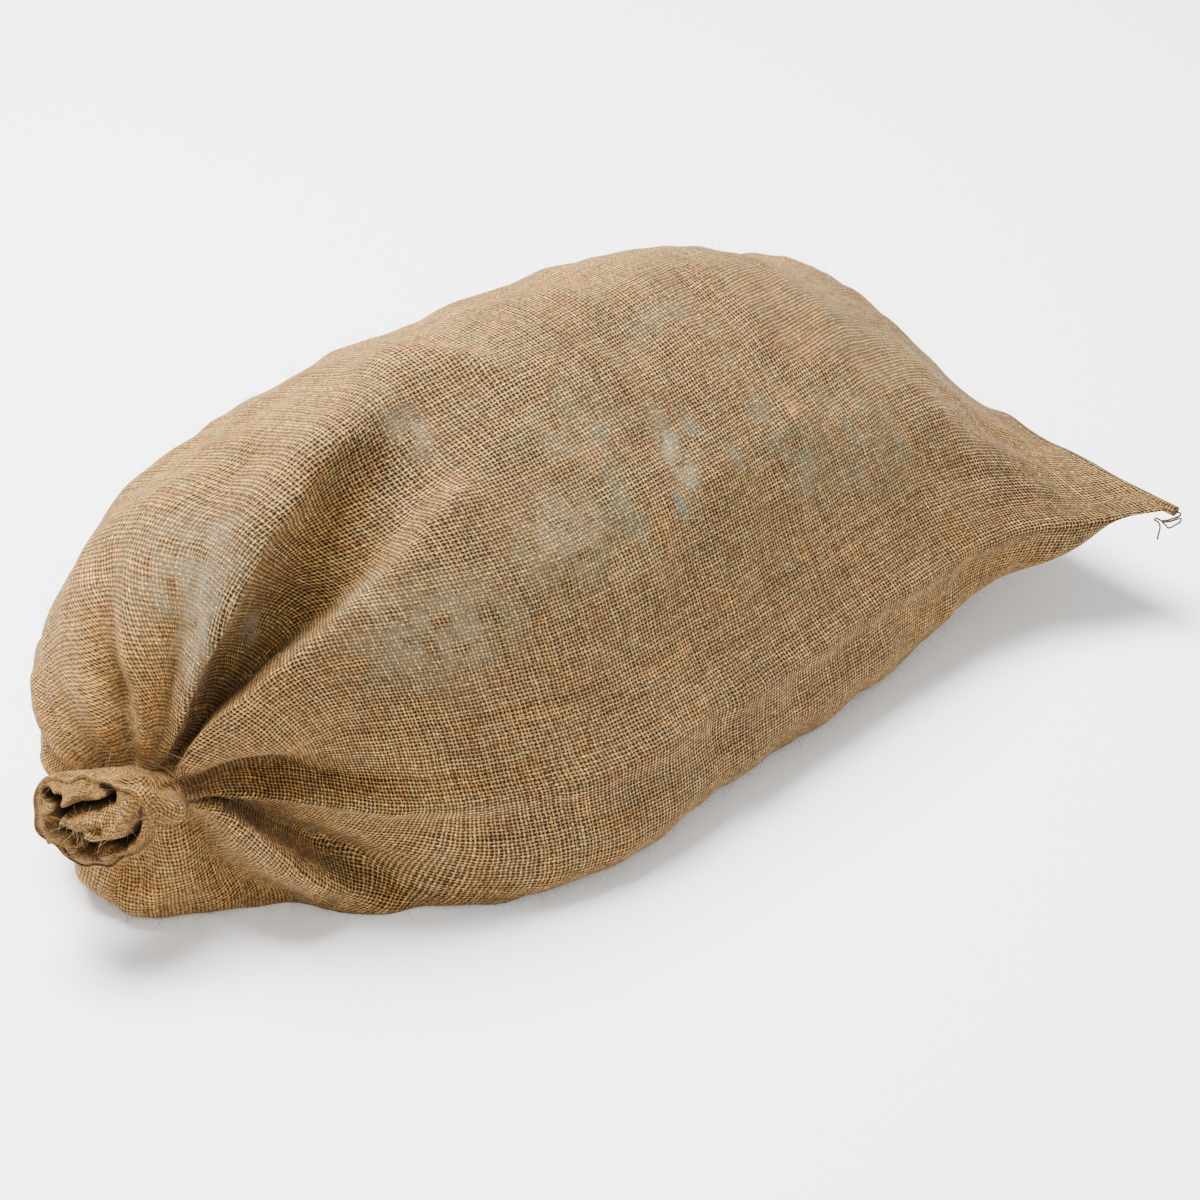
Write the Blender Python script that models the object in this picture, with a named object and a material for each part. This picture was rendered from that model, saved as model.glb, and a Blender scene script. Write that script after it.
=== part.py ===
"""A softly filled burlap sack lying on its side panel, gathered at the neck, with its mouth turned over.

Design frame: the gathered neck is near x = 0, the cloth runs along +X to the bottom seam, the side that
shows its crease is at -Y, and the floor is z = 0. All sizes are in metres.
"""

import math

import bmesh
import bpy
import numpy as np

# Each section is a ring of cloth. Its points go over the top from the near edge to the far edge, and back below.
# Columns: cloth distance from the neck, then near edge, flank, near shoulder, crown, far shoulder, far edge,
# far foot, far floor, near floor and near foot.
SECTIONS = (
    (0.000, (0.018, -0.023, 0.099), (0.015, -0.019, 0.106), (0.008, -0.010, 0.111), (-0.001, 0.001, 0.113),
     (-0.010, 0.013, 0.110), (-0.018, 0.023, 0.101), (-0.014, 0.018, 0.093), (-0.006, 0.007, 0.088),
     (0.004, -0.006, 0.087), (0.013, -0.017, 0.091)),
    (0.030, (0.037, -0.040, 0.099), (0.031, -0.032, 0.121), (0.018, -0.016, 0.138), (0.000, 0.006, 0.148),
     (-0.016, 0.030, 0.140), (-0.025, 0.046, 0.112), (-0.024, 0.035, 0.082), (-0.018, 0.014, 0.066),
     (-0.002, -0.010, 0.063), (0.018, -0.028, 0.076)),
    (0.065, (0.060, -0.062, 0.097), (0.055, -0.052, 0.132), (0.042, -0.030, 0.168), (0.014, 0.010, 0.198),
     (-0.002, 0.057, 0.180), (-0.014, 0.084, 0.124), (-0.022, 0.061, 0.058), (-0.029, 0.030, 0.028),
     (-0.022, -0.009, 0.021), (0.014, -0.035, 0.041)),
    (0.100, (0.080, -0.084, 0.095), (0.078, -0.070, 0.138), (0.069, -0.045, 0.190), (0.042, 0.006, 0.235),
     (0.022, 0.077, 0.207), (0.004, 0.110, 0.130), (-0.006, 0.080, 0.036), (-0.014, 0.050, 0.004),
     (-0.004, -0.015, 0.000), (0.041, -0.048, 0.020)),
    (0.135, (0.103, -0.108, 0.092), (0.101, -0.088, 0.140), (0.095, -0.061, 0.204), (0.072, 0.004, 0.258),
     (0.054, 0.090, 0.222), (0.036, 0.129, 0.134), (0.026, 0.106, 0.028), (0.022, 0.070, -0.004),
     (0.045, -0.038, -0.004), (0.086, -0.078, 0.022)),
    (0.190, (0.145, -0.137, 0.087), (0.143, -0.118, 0.138), (0.138, -0.086, 0.212), (0.122, 0.000, 0.279),
     (0.104, 0.099, 0.236), (0.088, 0.142, 0.140), (0.085, 0.126, 0.035), (0.085, 0.090, -0.004),
     (0.121, -0.104, -0.004), (0.146, -0.145, 0.020)),
    (0.270, (0.225, -0.166, 0.082), (0.220, -0.141, 0.140), (0.216, -0.110, 0.212), (0.206, 0.000, 0.290),
     (0.192, 0.102, 0.249), (0.176, 0.148, 0.142), (0.175, 0.135, 0.038), (0.178, 0.100, -0.004),
     (0.204, -0.148, -0.004), (0.224, -0.178, 0.022)),
    (0.380, (0.335, -0.169, 0.080), (0.330, -0.143, 0.140), (0.328, -0.110, 0.213), (0.325, 0.000, 0.288),
     (0.320, 0.102, 0.246), (0.308, 0.148, 0.142), (0.306, 0.138, 0.038), (0.306, 0.105, -0.004),
     (0.322, -0.142, -0.004), (0.334, -0.173, 0.026)),
    (0.500, (0.455, -0.162, 0.080), (0.446, -0.138, 0.136), (0.440, -0.105, 0.207), (0.440, 0.000, 0.274),
     (0.440, 0.102, 0.234), (0.438, 0.146, 0.135), (0.436, 0.136, 0.036), (0.436, 0.105, -0.004),
     (0.446, -0.140, -0.004), (0.457, -0.168, 0.026)),
    (0.600, (0.553, -0.160, 0.081), (0.540, -0.136, 0.128), (0.534, -0.100, 0.188), (0.534, 0.002, 0.240),
     (0.538, 0.105, 0.205), (0.540, 0.158, 0.124), (0.520, 0.132, 0.032), (0.510, 0.095, -0.004),
     (0.520, -0.124, -0.004), (0.545, -0.156, 0.028)),
    (0.660, (0.607, -0.172, 0.083), (0.598, -0.140, 0.118), (0.598, -0.092, 0.160), (0.603, 0.004, 0.188),
     (0.613, 0.116, 0.168), (0.608, 0.188, 0.116), (0.576, 0.140, 0.040), (0.558, 0.080, 0.010),
     (0.566, -0.104, 0.008), (0.592, -0.158, 0.042)),
    (0.710, (0.648, -0.198, 0.084), (0.643, -0.152, 0.100), (0.644, -0.085, 0.124), (0.655, 0.010, 0.152),
     (0.662, 0.118, 0.146), (0.652, 0.210, 0.096), (0.620, 0.130, 0.050), (0.608, 0.070, 0.040),
     (0.610, -0.084, 0.044), (0.640, -0.186, 0.058)),
    (0.760, (0.694, -0.226, 0.086), (0.691, -0.160, 0.090), (0.689, -0.080, 0.092), (0.688, 0.010, 0.091),
     (0.689, 0.110, 0.087), (0.692, 0.226, 0.072), (0.689, 0.110, 0.087), (0.688, 0.010, 0.091),
     (0.689, -0.080, 0.092), (0.691, -0.160, 0.090)),
)
CLOTH_LENGTH = SECTIONS[-1][0]
TOP_POINTS = 6

# A turn is a place round the sack: 0 near edge, 0.25 crown, 0.5 far edge, 0.75 underside.
# Columns: turn where a span starts, turn where it ends, steps in it.
TURN_SPANS = (
    (0.00, 0.08, 8),
    (0.08, 0.32, 36),
    (0.32, 0.50, 11),
    (0.50, 0.80, 15),
    (0.80, 1.00, 30),
)
RINGS = 42
RING_CROWDING = 1.3

# Folds of the gathered cloth. A negative height is a valley.
# Columns: cloth distance from the neck, turn, height, half width on the low-turn side, on the high-turn side.
FOLDS = {
    "side crease": (
        (0.000, 0.000, 0.004, 0.004, 0.004),
        (0.030, -0.006, 0.009, 0.005, 0.004),
        (0.080, -0.005, 0.010, 0.007, 0.005),
        (0.140, -0.001, 0.008, 0.009, 0.007),
        (0.250, 0.000, 0.005, 0.011, 0.009),
        (0.620, 0.000, 0.004, 0.010, 0.009),
        (0.740, 0.000, 0.000, 0.008, 0.008),
    ),
    "valley above the crease": (
        (0.000, 0.036, -0.002, 0.005, 0.005),
        (0.036, 0.022, -0.014, 0.006, 0.009),
        (0.070, 0.016, -0.017, 0.006, 0.013),
        (0.100, 0.013, -0.012, 0.007, 0.018),
        (0.135, 0.013, -0.005, 0.009, 0.022),
        (0.165, 0.016, 0.000, 0.012, 0.024),
    ),
    "near roll": (
        (0.000, 0.108, 0.005, 0.008, 0.005),
        (0.020, 0.114, 0.013, 0.018, 0.007),
        (0.050, 0.115, 0.018, 0.034, 0.010),
        (0.080, 0.112, 0.020, 0.050, 0.012),
        (0.125, 0.125, 0.019, 0.072, 0.013),
        (0.170, 0.145, 0.016, 0.088, 0.015),
        (0.225, 0.170, 0.011, 0.090, 0.018),
        (0.270, 0.195, 0.006, 0.085, 0.024),
        (0.320, 0.225, 0.000, 0.080, 0.032),
    ),
    "deep valley": (
        (0.000, 0.142, -0.004, 0.006, 0.005),
        (0.030, 0.153, -0.019, 0.008, 0.008),
        (0.060, 0.159, -0.027, 0.011, 0.011),
        (0.095, 0.165, -0.029, 0.016, 0.017),
        (0.146, 0.182, -0.026, 0.023, 0.025),
        (0.194, 0.202, -0.019, 0.029, 0.031),
        (0.245, 0.224, -0.010, 0.034, 0.036),
        (0.300, 0.240, 0.000, 0.036, 0.038),
    ),
    "far roll": (
        (0.000, 0.172, 0.004, 0.005, 0.006),
        (0.045, 0.197, 0.010, 0.007, 0.011),
        (0.099, 0.210, 0.017, 0.009, 0.018),
        (0.153, 0.234, 0.017, 0.011, 0.022),
        (0.207, 0.257, 0.013, 0.015, 0.026),
        (0.245, 0.268, 0.009, 0.020, 0.028),
        (0.290, 0.286, 0.005, 0.030, 0.028),
        (0.340, 0.300, 0.000, 0.044, 0.030),
    ),
    "arc off the far roll": (
        (0.262, 0.296, 0.000, 0.018, 0.018),
        (0.293, 0.292, 0.006, 0.020, 0.016),
        (0.312, 0.276, 0.007, 0.020, 0.016),
        (0.331, 0.250, 0.006, 0.022, 0.018),
        (0.356, 0.238, 0.004, 0.026, 0.020),
        (0.410, 0.230, 0.000, 0.030, 0.024),
    ),
    "valley behind the far roll": (
        (0.006, 0.203, -0.001, 0.004, 0.005),
        (0.029, 0.210, -0.007, 0.005, 0.006),
        (0.060, 0.221, -0.009, 0.007, 0.010),
        (0.105, 0.242, -0.008, 0.010, 0.018),
        (0.155, 0.276, -0.006, 0.014, 0.028),
        (0.210, 0.306, -0.004, 0.018, 0.034),
        (0.270, 0.330, 0.000, 0.024, 0.040),
    ),
    "small pleat": (
        (0.000, 0.236, 0.002, 0.005, 0.005),
        (0.029, 0.250, 0.007, 0.006, 0.006),
        (0.045, 0.268, 0.008, 0.008, 0.008),
        (0.075, 0.290, 0.004, 0.012, 0.012),
        (0.110, 0.300, 0.000, 0.016, 0.016),
    ),
    "dimple": (
        (0.000, 0.285, -0.001, 0.005, 0.005),
        (0.019, 0.296, -0.007, 0.006, 0.006),
        (0.036, 0.302, -0.012, 0.009, 0.011),
        (0.056, 0.308, -0.007, 0.012, 0.016),
        (0.085, 0.315, 0.000, 0.014, 0.020),
    ),
    "pleat past the dimple": (
        (0.000, 0.335, 0.002, 0.005, 0.006),
        (0.035, 0.345, 0.006, 0.009, 0.012),
        (0.080, 0.350, 0.000, 0.014, 0.020),
    ),
    "pocket under the crease": (
        (0.000, -0.022, -0.003, 0.004, 0.004),
        (0.030, -0.032, -0.012, 0.006, 0.006),
        (0.070, -0.040, -0.018, 0.007, 0.010),
        (0.105, -0.055, -0.017, 0.008, 0.013),
        (0.134, -0.070, -0.012, 0.009, 0.015),
        (0.160, -0.086, -0.006, 0.010, 0.018),
        (0.200, -0.104, 0.000, 0.012, 0.020),
    ),
    "strap": (
        (0.000, -0.036, 0.014, 0.009, 0.008),
        (0.035, -0.060, 0.018, 0.016, 0.010),
        (0.075, -0.068, 0.022, 0.020, 0.011),
        (0.105, -0.083, 0.021, 0.021, 0.011),
        (0.140, -0.102, 0.014, 0.021, 0.012),
        (0.185, -0.124, 0.000, 0.021, 0.013),
    ),
    "valley under the strap": (
        (0.000, -0.122, -0.005, 0.007, 0.006),
        (0.035, -0.118, -0.012, 0.009, 0.008),
        (0.079, -0.119, -0.014, 0.011, 0.010),
        (0.110, -0.130, -0.010, 0.012, 0.011),
        (0.150, -0.148, 0.000, 0.014, 0.012),
    ),
    "tuck under the mouth": (
        (0.010, -0.200, 0.000, 0.018, 0.018),
        (0.045, -0.190, -0.003, 0.024, 0.022),
        (0.085, -0.185, -0.005, 0.032, 0.028),
        (0.130, -0.182, -0.003, 0.036, 0.030),
        (0.180, -0.180, 0.000, 0.036, 0.030),
    ),
    "hollow under the mouth": (
        (0.020, -0.225, 0.000, 0.010, 0.010),
        (0.048, -0.228, -0.010, 0.014, 0.012),
        (0.080, -0.235, 0.000, 0.018, 0.016),
    ),
}
# How far a roll leans towards its high-turn side, as a share of its height. A valley's share is how far its
# floor reaches under the roll on its low-turn side.
LEANS = {
    "near roll": 0.6,
    "deep valley": 0.4,
    "far roll": -0.5,
    "valley above the crease": -0.2,
    "pocket under the crease": 0.5,
    "strap": 0.5,
}
# The leans grow from nothing at the neck to their full share over this much cloth.
LEAN_REACH = 0.03
# Folds with a flat floor between steep sides.
FLAT_FLOORS = ("deep valley",)
# Fine pleats round the underside of the neck, highest at PLEAT_REACH.
PLEAT_COUNT = 13
PLEAT_HEIGHT = 0.004
PLEAT_REACH = 0.055
PLEAT_SPAN = (0.38, 0.80)

SEAM_THICKNESS = 0.004

# The mouth is turned over and bunched into a rosette. Its face looks along MOUTH_AXIS.
MOUTH_CENTRE = (-0.042, -0.006, 0.096)
MOUTH_AXIS = (-0.82, -0.46, 0.30)
# Rim radius of the rosette at every thirty degrees, from the near side over the top.
MOUTH_RIM = (0.040, 0.039, 0.033, 0.028, 0.030, 0.039, 0.037, 0.034, 0.030, 0.029, 0.029, 0.034)
# Rings from the neck to the face. Columns: advance along the axis, spread out to the rim.
MOUTH_FLARE = (
    (0.10, 0.03),
    (0.20, 0.14),
    (0.33, 0.36),
    (0.50, 0.62),
    (0.68, 0.85),
    (0.85, 0.97),
    (1.00, 1.00),
    (1.08, 0.94),
)
# Folds that run over the flare, as the strap does when it leaves the mouth.
# Columns: advance along the axis, turn, height, half width.
FLARE_FOLDS = {
    "strap's start": (
        (0.00, -0.030, 0.000, 0.008),
        (0.20, -0.015, 0.005, 0.009),
        (0.45, 0.015, 0.010, 0.010),
        (0.70, 0.055, 0.009, 0.009),
        (0.90, 0.095, 0.004, 0.008),
        (1.08, 0.120, 0.000, 0.008),
    ),
    "groove beside the strap": (
        (0.00, -0.110, 0.000, 0.006),
        (0.20, -0.085, -0.006, 0.006),
        (0.45, -0.050, -0.011, 0.007),
        (0.70, -0.015, -0.010, 0.008),
        (1.00, 0.010, 0.000, 0.008),
    ),
    "groove above the strap": (
        (0.00, 0.030, 0.000, 0.005),
        (0.20, 0.050, -0.004, 0.005),
        (0.45, 0.095, -0.006, 0.006),
        (0.70, 0.140, -0.005, 0.006),
        (1.00, 0.180, 0.000, 0.006),
    ),
    "lower pleat": (
        (0.00, -0.190, 0.000, 0.006),
        (0.30, -0.160, 0.006, 0.007),
        (0.60, -0.120, 0.007, 0.008),
        (1.00, -0.080, 0.000, 0.008),
    ),
}
MOUTH_FACE_SPREADS = (0.84, 0.74, 0.64, 0.54, 0.44, 0.34, 0.24, 0.12)
MOUTH_DOME = 0.007
# Rolled layers seen on the face. Columns: height, half width, then the places (across, up) it runs through.
MOUTH_LAYERS = {
    "upper roll": (0.004, 0.006, ((-0.031, 0.021), (-0.020, 0.020), (-0.008, 0.017), (0.006, 0.017))),
    "turned lip": (0.005, 0.004, ((-0.005, -0.008), (0.008, -0.004), (0.020, 0.003), (0.028, 0.012), (0.028, 0.024))),
    "inner layer": (0.003, 0.004, ((-0.009, 0.001), (0.001, 0.003), (0.010, 0.008))),
    "lower roll": (0.003, 0.006, ((-0.022, -0.008), (-0.013, -0.018), (0.000, -0.021), (0.012, -0.019))),
    "left pocket": (-0.012, 0.005, ((-0.026, 0.006), (-0.018, 0.010))),
    "upper slit": (-0.013, 0.003, ((-0.016, 0.001), (-0.007, 0.006), (0.003, 0.009), (0.012, 0.014), (0.016, 0.022))),
    "lower slit": (-0.012, 0.003, ((-0.010, -0.010), (-0.001, -0.012), (0.009, -0.010), (0.020, -0.007))),
    "inner slit": (-0.012, 0.003, ((-0.016, 0.001), (-0.018, -0.005), (-0.010, -0.010))),
}

# The loose end of the closing thread hangs beside the near ear. Columns: along, up and out from the ear's tip.
THREAD_THICKNESS = 0.0009
THREAD_ALONG = (0.88, -0.47, 0.0)
THREAD_ROUTE = (
    (0.0002, -0.0006, 0.0020),
    (0.0024, -0.0010, 0.0020),
    (0.0044, -0.0020, 0.0020),
    (0.0052, -0.0036, 0.0020),
    (0.0039, -0.0048, 0.0020),
    (-0.0005, -0.0058, 0.0020),
    (-0.0049, -0.0065, 0.0020),
    (-0.0076, -0.0062, 0.0020),
    (-0.0072, -0.0078, 0.0020),
    (-0.0050, -0.0102, 0.0020),
    (-0.0022, -0.0132, 0.0020),
    (0.0015, -0.0117, 0.0020),
    (0.0050, -0.0096, 0.0022),
    (0.0056, -0.0074, 0.0028),
    (0.0041, -0.0054, 0.0036),
    (-0.0005, -0.0062, 0.0036),
    (-0.0049, -0.0067, 0.0036),
    (-0.0085, -0.0052, 0.0036),
    (-0.0130, -0.0022, 0.0036),
    (-0.0142, -0.0034, 0.0036),
    (-0.0112, -0.0058, 0.0036),
    (-0.0098, -0.0092, 0.0036),
    (-0.0098, -0.0128, 0.0036),
    (-0.0104, -0.0165, 0.0036),
    (-0.0105, -0.0198, 0.0036),
)
THREAD_STEPS = 4


def curve_through(points, at, where):
    """Points at the given places on a smooth curve through the rows of points."""
    slopes = np.gradient(points, at, axis=0)
    index = np.clip(np.searchsorted(at, where, side="right") - 1, 0, len(at) - 2)
    shape = (-1,) + (1,) * (points.ndim - 1)
    span = (at[index + 1] - at[index]).reshape(shape)
    f = (where - at[index]).reshape(shape) / span
    start, end = points[index], points[index + 1]
    return (
        (2 * f**3 - 3 * f**2 + 1) * start
        + (f**3 - 2 * f**2 + f) * span * slopes[index]
        + (3 * f**2 - 2 * f**3) * end
        + (f**3 - f**2) * span * slopes[index + 1]
    )


def panel(points, fractions):
    """One face of the sack at a section: a smooth curve through its points, measured along the cloth."""
    steps = np.linalg.norm(np.diff(points, axis=0), axis=1)
    at = np.concatenate([[0], np.cumsum(np.sqrt(steps) + 1e-6)])
    fine = curve_through(points, at, np.linspace(0, at[-1], 161))
    length = np.concatenate([[0], np.cumsum(np.linalg.norm(np.diff(fine, axis=0), axis=1))])
    return np.stack([np.interp(fractions, length / length[-1], fine[:, k]) for k in range(3)], axis=1)


def plain_surface(distance, turn):
    """The sack without folds, as rings of points at the given cloth distances and turns."""
    at = np.array([row[0] for row in SECTIONS])
    cage = np.array([row[1:] for row in SECTIONS])
    top = turn < 0.5
    rings = []
    for row in curve_through(cage, at, distance):
        over = panel(row[:TOP_POINTS], turn[top] * 2)
        under = panel(np.concatenate([row[TOP_POINTS - 1:], row[:1]]), turn[~top] * 2 - 1)
        rings.append(np.concatenate([over, under]))
    return np.array(rings)


def outward(points):
    """Unit normals of closed rings of points."""
    along = np.gradient(points, axis=0)
    around = np.roll(points, -1, axis=1) - np.roll(points, 1, axis=1)
    normal = np.cross(along, around)
    return normal / (np.linalg.norm(normal, axis=2, keepdims=True) + 1e-12)


def ring_lengths(points):
    closed = np.concatenate([points, points[:, :1]], axis=1)
    return np.linalg.norm(np.diff(closed, axis=1), axis=2).sum(axis=1)


def fold_shift(distance, turn, perimeter):
    """Height of the folds above the plain surface, and how far they lean round the sack."""
    height = np.zeros((len(distance), len(turn)))
    lean = np.zeros_like(height)
    for name, rows in FOLDS.items():
        table = np.array(rows)
        at = np.clip(distance, table[0, 0], table[-1, 0])
        centre, size, low, high = curve_through(table[:, 1:], table[:, 0], at).T[..., None]
        inside = (distance >= table[0, 0]) & (distance <= table[-1, 0])
        offset = ((turn[None, :] - centre + 0.5) % 1.0 - 0.5) * perimeter[:, None]
        share = np.abs(offset) / np.where(offset < 0, low, high)
        bump = inside[:, None] * size * np.exp(-share ** (4 if name in FLAT_FLOORS else 2))
        height += bump
        lean += bump * LEANS.get(name, 0)
    start, end = PLEAT_SPAN
    across = np.clip((turn - start) / (end - start), 0, 1)
    pleats = PLEAT_HEIGHT * np.sin(math.pi * across) * np.cos(2 * math.pi * PLEAT_COUNT * across / 2)
    rise = (distance / PLEAT_REACH) * np.exp(1 - distance / PLEAT_REACH) * (distance < 4 * PLEAT_REACH)
    lean *= np.clip(distance / LEAN_REACH, 0, 1)[:, None]
    return height + rise[:, None] * pleats[None, :], lean


def body_rings(distance, turn):
    plain = plain_surface(distance, turn)
    height, lean = fold_shift(distance, turn, ring_lengths(plain))
    around = np.roll(plain, -1, axis=1) - np.roll(plain, 1, axis=1)
    around /= np.linalg.norm(around, axis=2, keepdims=True) + 1e-12
    points = plain + outward(plain) * height[..., None] + around * lean[..., None]
    half = SEAM_THICKNESS / 2
    points[-1, turn < 0.5, 2] += half * np.sin(2 * math.pi * turn[turn < 0.5]) ** 0.5
    points[-1, turn >= 0.5, 2] -= half * np.sin(2 * math.pi * (turn[turn >= 0.5] - 0.5)) ** 0.5
    points[..., 2] = np.maximum(points[..., 2], 0)
    return points


def mouth_frame():
    axis = np.array(MOUTH_AXIS) / np.linalg.norm(MOUTH_AXIS)
    across = np.array([-axis[1], axis[0], 0])
    across /= np.linalg.norm(across)
    return axis, across, np.cross(axis, across)


def distance_to_path(places, path):
    """Distance of every place to a chain of straight pieces."""
    nearest = np.full(places.shape[:-1], np.inf)
    for start, end in zip(path[:-1], path[1:]):
        start, end = np.array(start), np.array(end)
        piece = end - start
        f = np.clip(((places - start) @ piece) / (piece @ piece), 0, 1)
        nearest = np.minimum(nearest, np.linalg.norm(places - start - f[..., None] * piece, axis=-1))
    return nearest


def mouth_relief(places):
    """Height of the mouth's face at the given places across and up."""
    height = np.zeros(places.shape[:-1])
    for size, width, path in MOUTH_LAYERS.values():
        height += size * np.exp(-((distance_to_path(places, path) / width) ** 2))
    return height


def flare_folds(advance, turn, place):
    """A ring of the flare with its folds, pushed out from the middle of the ring."""
    out = place - place.mean(axis=0)
    reach = np.linalg.norm(out, axis=1)
    perimeter = 2 * math.pi * reach.mean()
    height = np.zeros(len(turn))
    for rows in FLARE_FOLDS.values():
        table = np.array(rows)
        if table[0, 0] < advance < table[-1, 0]:
            centre, size, width = curve_through(table[:, 1:], table[:, 0], np.array([advance]))[0]
            offset = ((turn - centre + 0.5) % 1.0 - 0.5) * perimeter
            height += size * np.exp(-((offset / width) ** 2))
    return place + out * (height / reach)[:, None]


def mouth_rings(neck, turn):
    """Rings from the neck out to the rosette's rim and in over its face, and the point in the middle."""
    axis, across, up = mouth_frame()
    centre = np.array(MOUTH_CENTRE)
    local = np.stack([(neck - centre) @ across, (neck - centre) @ up], axis=1)
    behind = (neck - centre) @ axis
    angles = np.linspace(0, 1, len(MOUTH_RIM) + 1)
    rows = np.array(MOUTH_RIM + MOUTH_RIM[:1])
    extended = np.concatenate([rows[-3:-1], rows, rows[1:3]])
    places = np.concatenate([angles[-3:-1] - 1, angles, angles[1:3] + 1])
    radius = curve_through(extended[:, None], places, turn)[:, 0]
    rim = np.stack([np.cos(2 * math.pi * turn), np.sin(2 * math.pi * turn)], axis=1) * radius[:, None]
    rings = []
    for advance, spread in MOUTH_FLARE:
        place = flare_folds(advance, turn, local * (1 - spread) + rim * spread)
        depth = behind * (1 - advance)
        rings.append(centre + place @ np.stack([across, up]) + depth[:, None] * axis)
    for spread in MOUTH_FACE_SPREADS:
        place = rim * spread
        depth = MOUTH_DOME * (1 - spread**2) + 0.003 + mouth_relief(place)
        rings.append(centre + place @ np.stack([across, up]) + depth[:, None] * axis)
    middle = centre + (MOUTH_DOME + 0.003 + mouth_relief(np.zeros((1, 2)))[0]) * axis
    return np.array(rings), middle


def turns():
    spans = [np.linspace(start, end, steps + 1)[:-1] for start, end, steps in TURN_SPANS]
    return np.concatenate(spans)


def bridge(first, second):
    """Triangles between two rows of vertex numbers that share their first and last vertex."""
    faces = []
    i = j = 0
    while i < len(first) - 1 or j < len(second) - 1:
        ahead = (i + 1) / (len(first) - 1) <= (j + 1) / (len(second) - 1)
        if (ahead and i < len(first) - 1) or j == len(second) - 1:
            corner = (first[i], first[i + 1], second[j])
            i += 1
        else:
            corner = (first[i], second[j + 1], second[j])
            j += 1
        if len(set(corner)) == 3:
            faces.append(corner)
    return faces


def sack_mesh():
    turn = turns()
    distance = CLOTH_LENGTH * np.linspace(0, 1, RINGS) ** RING_CROWDING
    body = body_rings(distance, turn)
    mouth, middle = mouth_rings(body[0], turn)
    rings = np.concatenate([mouth[::-1], body])
    count = len(turn)
    verts = [middle] + list(rings.reshape(-1, 3))
    faces = [(0, 1 + (j + 1) % count, 1 + j) for j in range(count)]
    for i in range(len(rings) - 1):
        first, second = 1 + i * count, 1 + (i + 1) * count
        for j in range(count):
            k = (j + 1) % count
            faces.append((first + j, first + k, second + k, second + j))
    last = 1 + (len(rings) - 1) * count
    top = int((turn < 0.5).sum())
    over = list(range(last, last + top + 1))
    under = [last] + list(range(last + count - 1, last + top - 1, -1))
    faces += bridge(over, under)
    return verts, faces


def thread_points():
    """The route of the loose thread, smoothed."""
    along = np.array(THREAD_ALONG) / np.linalg.norm(THREAD_ALONG)
    out = np.array([along[1], -along[0], 0])
    tip = np.array(SECTIONS[-1][1])
    route = np.array([tip + a * along + b * np.array([0, 0, 1]) + c * out for a, b, c in THREAD_ROUTE])
    at = np.arange(len(route), dtype=float)
    return curve_through(route, at, np.linspace(0, at[-1], (len(route) - 1) * THREAD_STEPS + 1))


def material(name, colour, roughness):
    made = bpy.data.materials.new(name)
    made.use_nodes = True
    shader = made.node_tree.nodes["Principled BSDF"]
    shader.inputs["Base Color"].default_value = colour
    shader.inputs["Roughness"].default_value = roughness
    return made


def cloth_object(verts, faces):
    mesh = bpy.data.meshes.new("sack_cloth")
    mesh.from_pydata([tuple(v) for v in verts], [], faces)
    shape = bmesh.new()
    shape.from_mesh(mesh)
    bmesh.ops.recalc_face_normals(shape, faces=shape.faces)
    shape.to_mesh(mesh)
    shape.free()
    mesh.materials.append(material("hessian_cloth", (0.46, 0.31, 0.16, 1), 0.9))
    return bpy.data.objects.new("sack_cloth", mesh)


def thread_object(points):
    curve = bpy.data.curves.new("seam_thread", "CURVE")
    curve.dimensions = "3D"
    curve.bevel_depth = THREAD_THICKNESS / 2
    curve.bevel_resolution = 2
    curve.use_fill_caps = True
    spline = curve.splines.new("POLY")
    spline.points.add(len(points) - 1)
    for point, place in zip(spline.points, points):
        point.co = (*place, 1)
    curve.materials.append(material("jute_thread", (0.30, 0.17, 0.09, 1), 0.85))
    return bpy.data.objects.new("seam_thread", curve)


def main():
    for old in list(bpy.data.objects):
        bpy.data.objects.remove(old)
    collection = bpy.data.collections.new("burlap_sack")
    bpy.context.scene.collection.children.link(collection)
    verts, faces = sack_mesh()
    verts = np.array(verts)
    middle = (verts.min(axis=0) + verts.max(axis=0)) / 2 * (1, 1, 0)
    collection.objects.link(cloth_object(verts - middle, faces))
    collection.objects.link(thread_object(thread_points() - middle))


main()
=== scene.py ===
"""Looks of a softly filled burlap sack that lies on its side: cloth, gathers, mouth, seam and thread."""

import math

import bpy
import numpy as np
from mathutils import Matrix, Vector


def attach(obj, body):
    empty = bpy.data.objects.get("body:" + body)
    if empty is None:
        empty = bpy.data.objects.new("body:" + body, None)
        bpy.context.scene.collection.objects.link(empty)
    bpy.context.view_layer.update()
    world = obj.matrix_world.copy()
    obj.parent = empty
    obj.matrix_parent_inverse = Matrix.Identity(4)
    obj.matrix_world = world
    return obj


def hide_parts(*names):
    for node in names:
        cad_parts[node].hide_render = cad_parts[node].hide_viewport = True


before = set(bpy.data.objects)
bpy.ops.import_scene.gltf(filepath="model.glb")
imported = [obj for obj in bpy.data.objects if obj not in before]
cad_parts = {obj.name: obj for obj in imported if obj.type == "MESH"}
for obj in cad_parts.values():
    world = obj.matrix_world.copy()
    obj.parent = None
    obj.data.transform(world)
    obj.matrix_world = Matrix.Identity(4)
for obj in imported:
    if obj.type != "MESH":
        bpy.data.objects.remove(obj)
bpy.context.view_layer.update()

# Sizes are in metres and turns go round the sack, from 0 at the near edge over the top to 0.5 at the far
# edge. Tables that say so are in thousandths of these. Places are in the maker's frame: the gathered neck
# is near x = 0, and the floor is at z = 0.
NECK_TO_CENTRE = 0.31526

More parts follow.
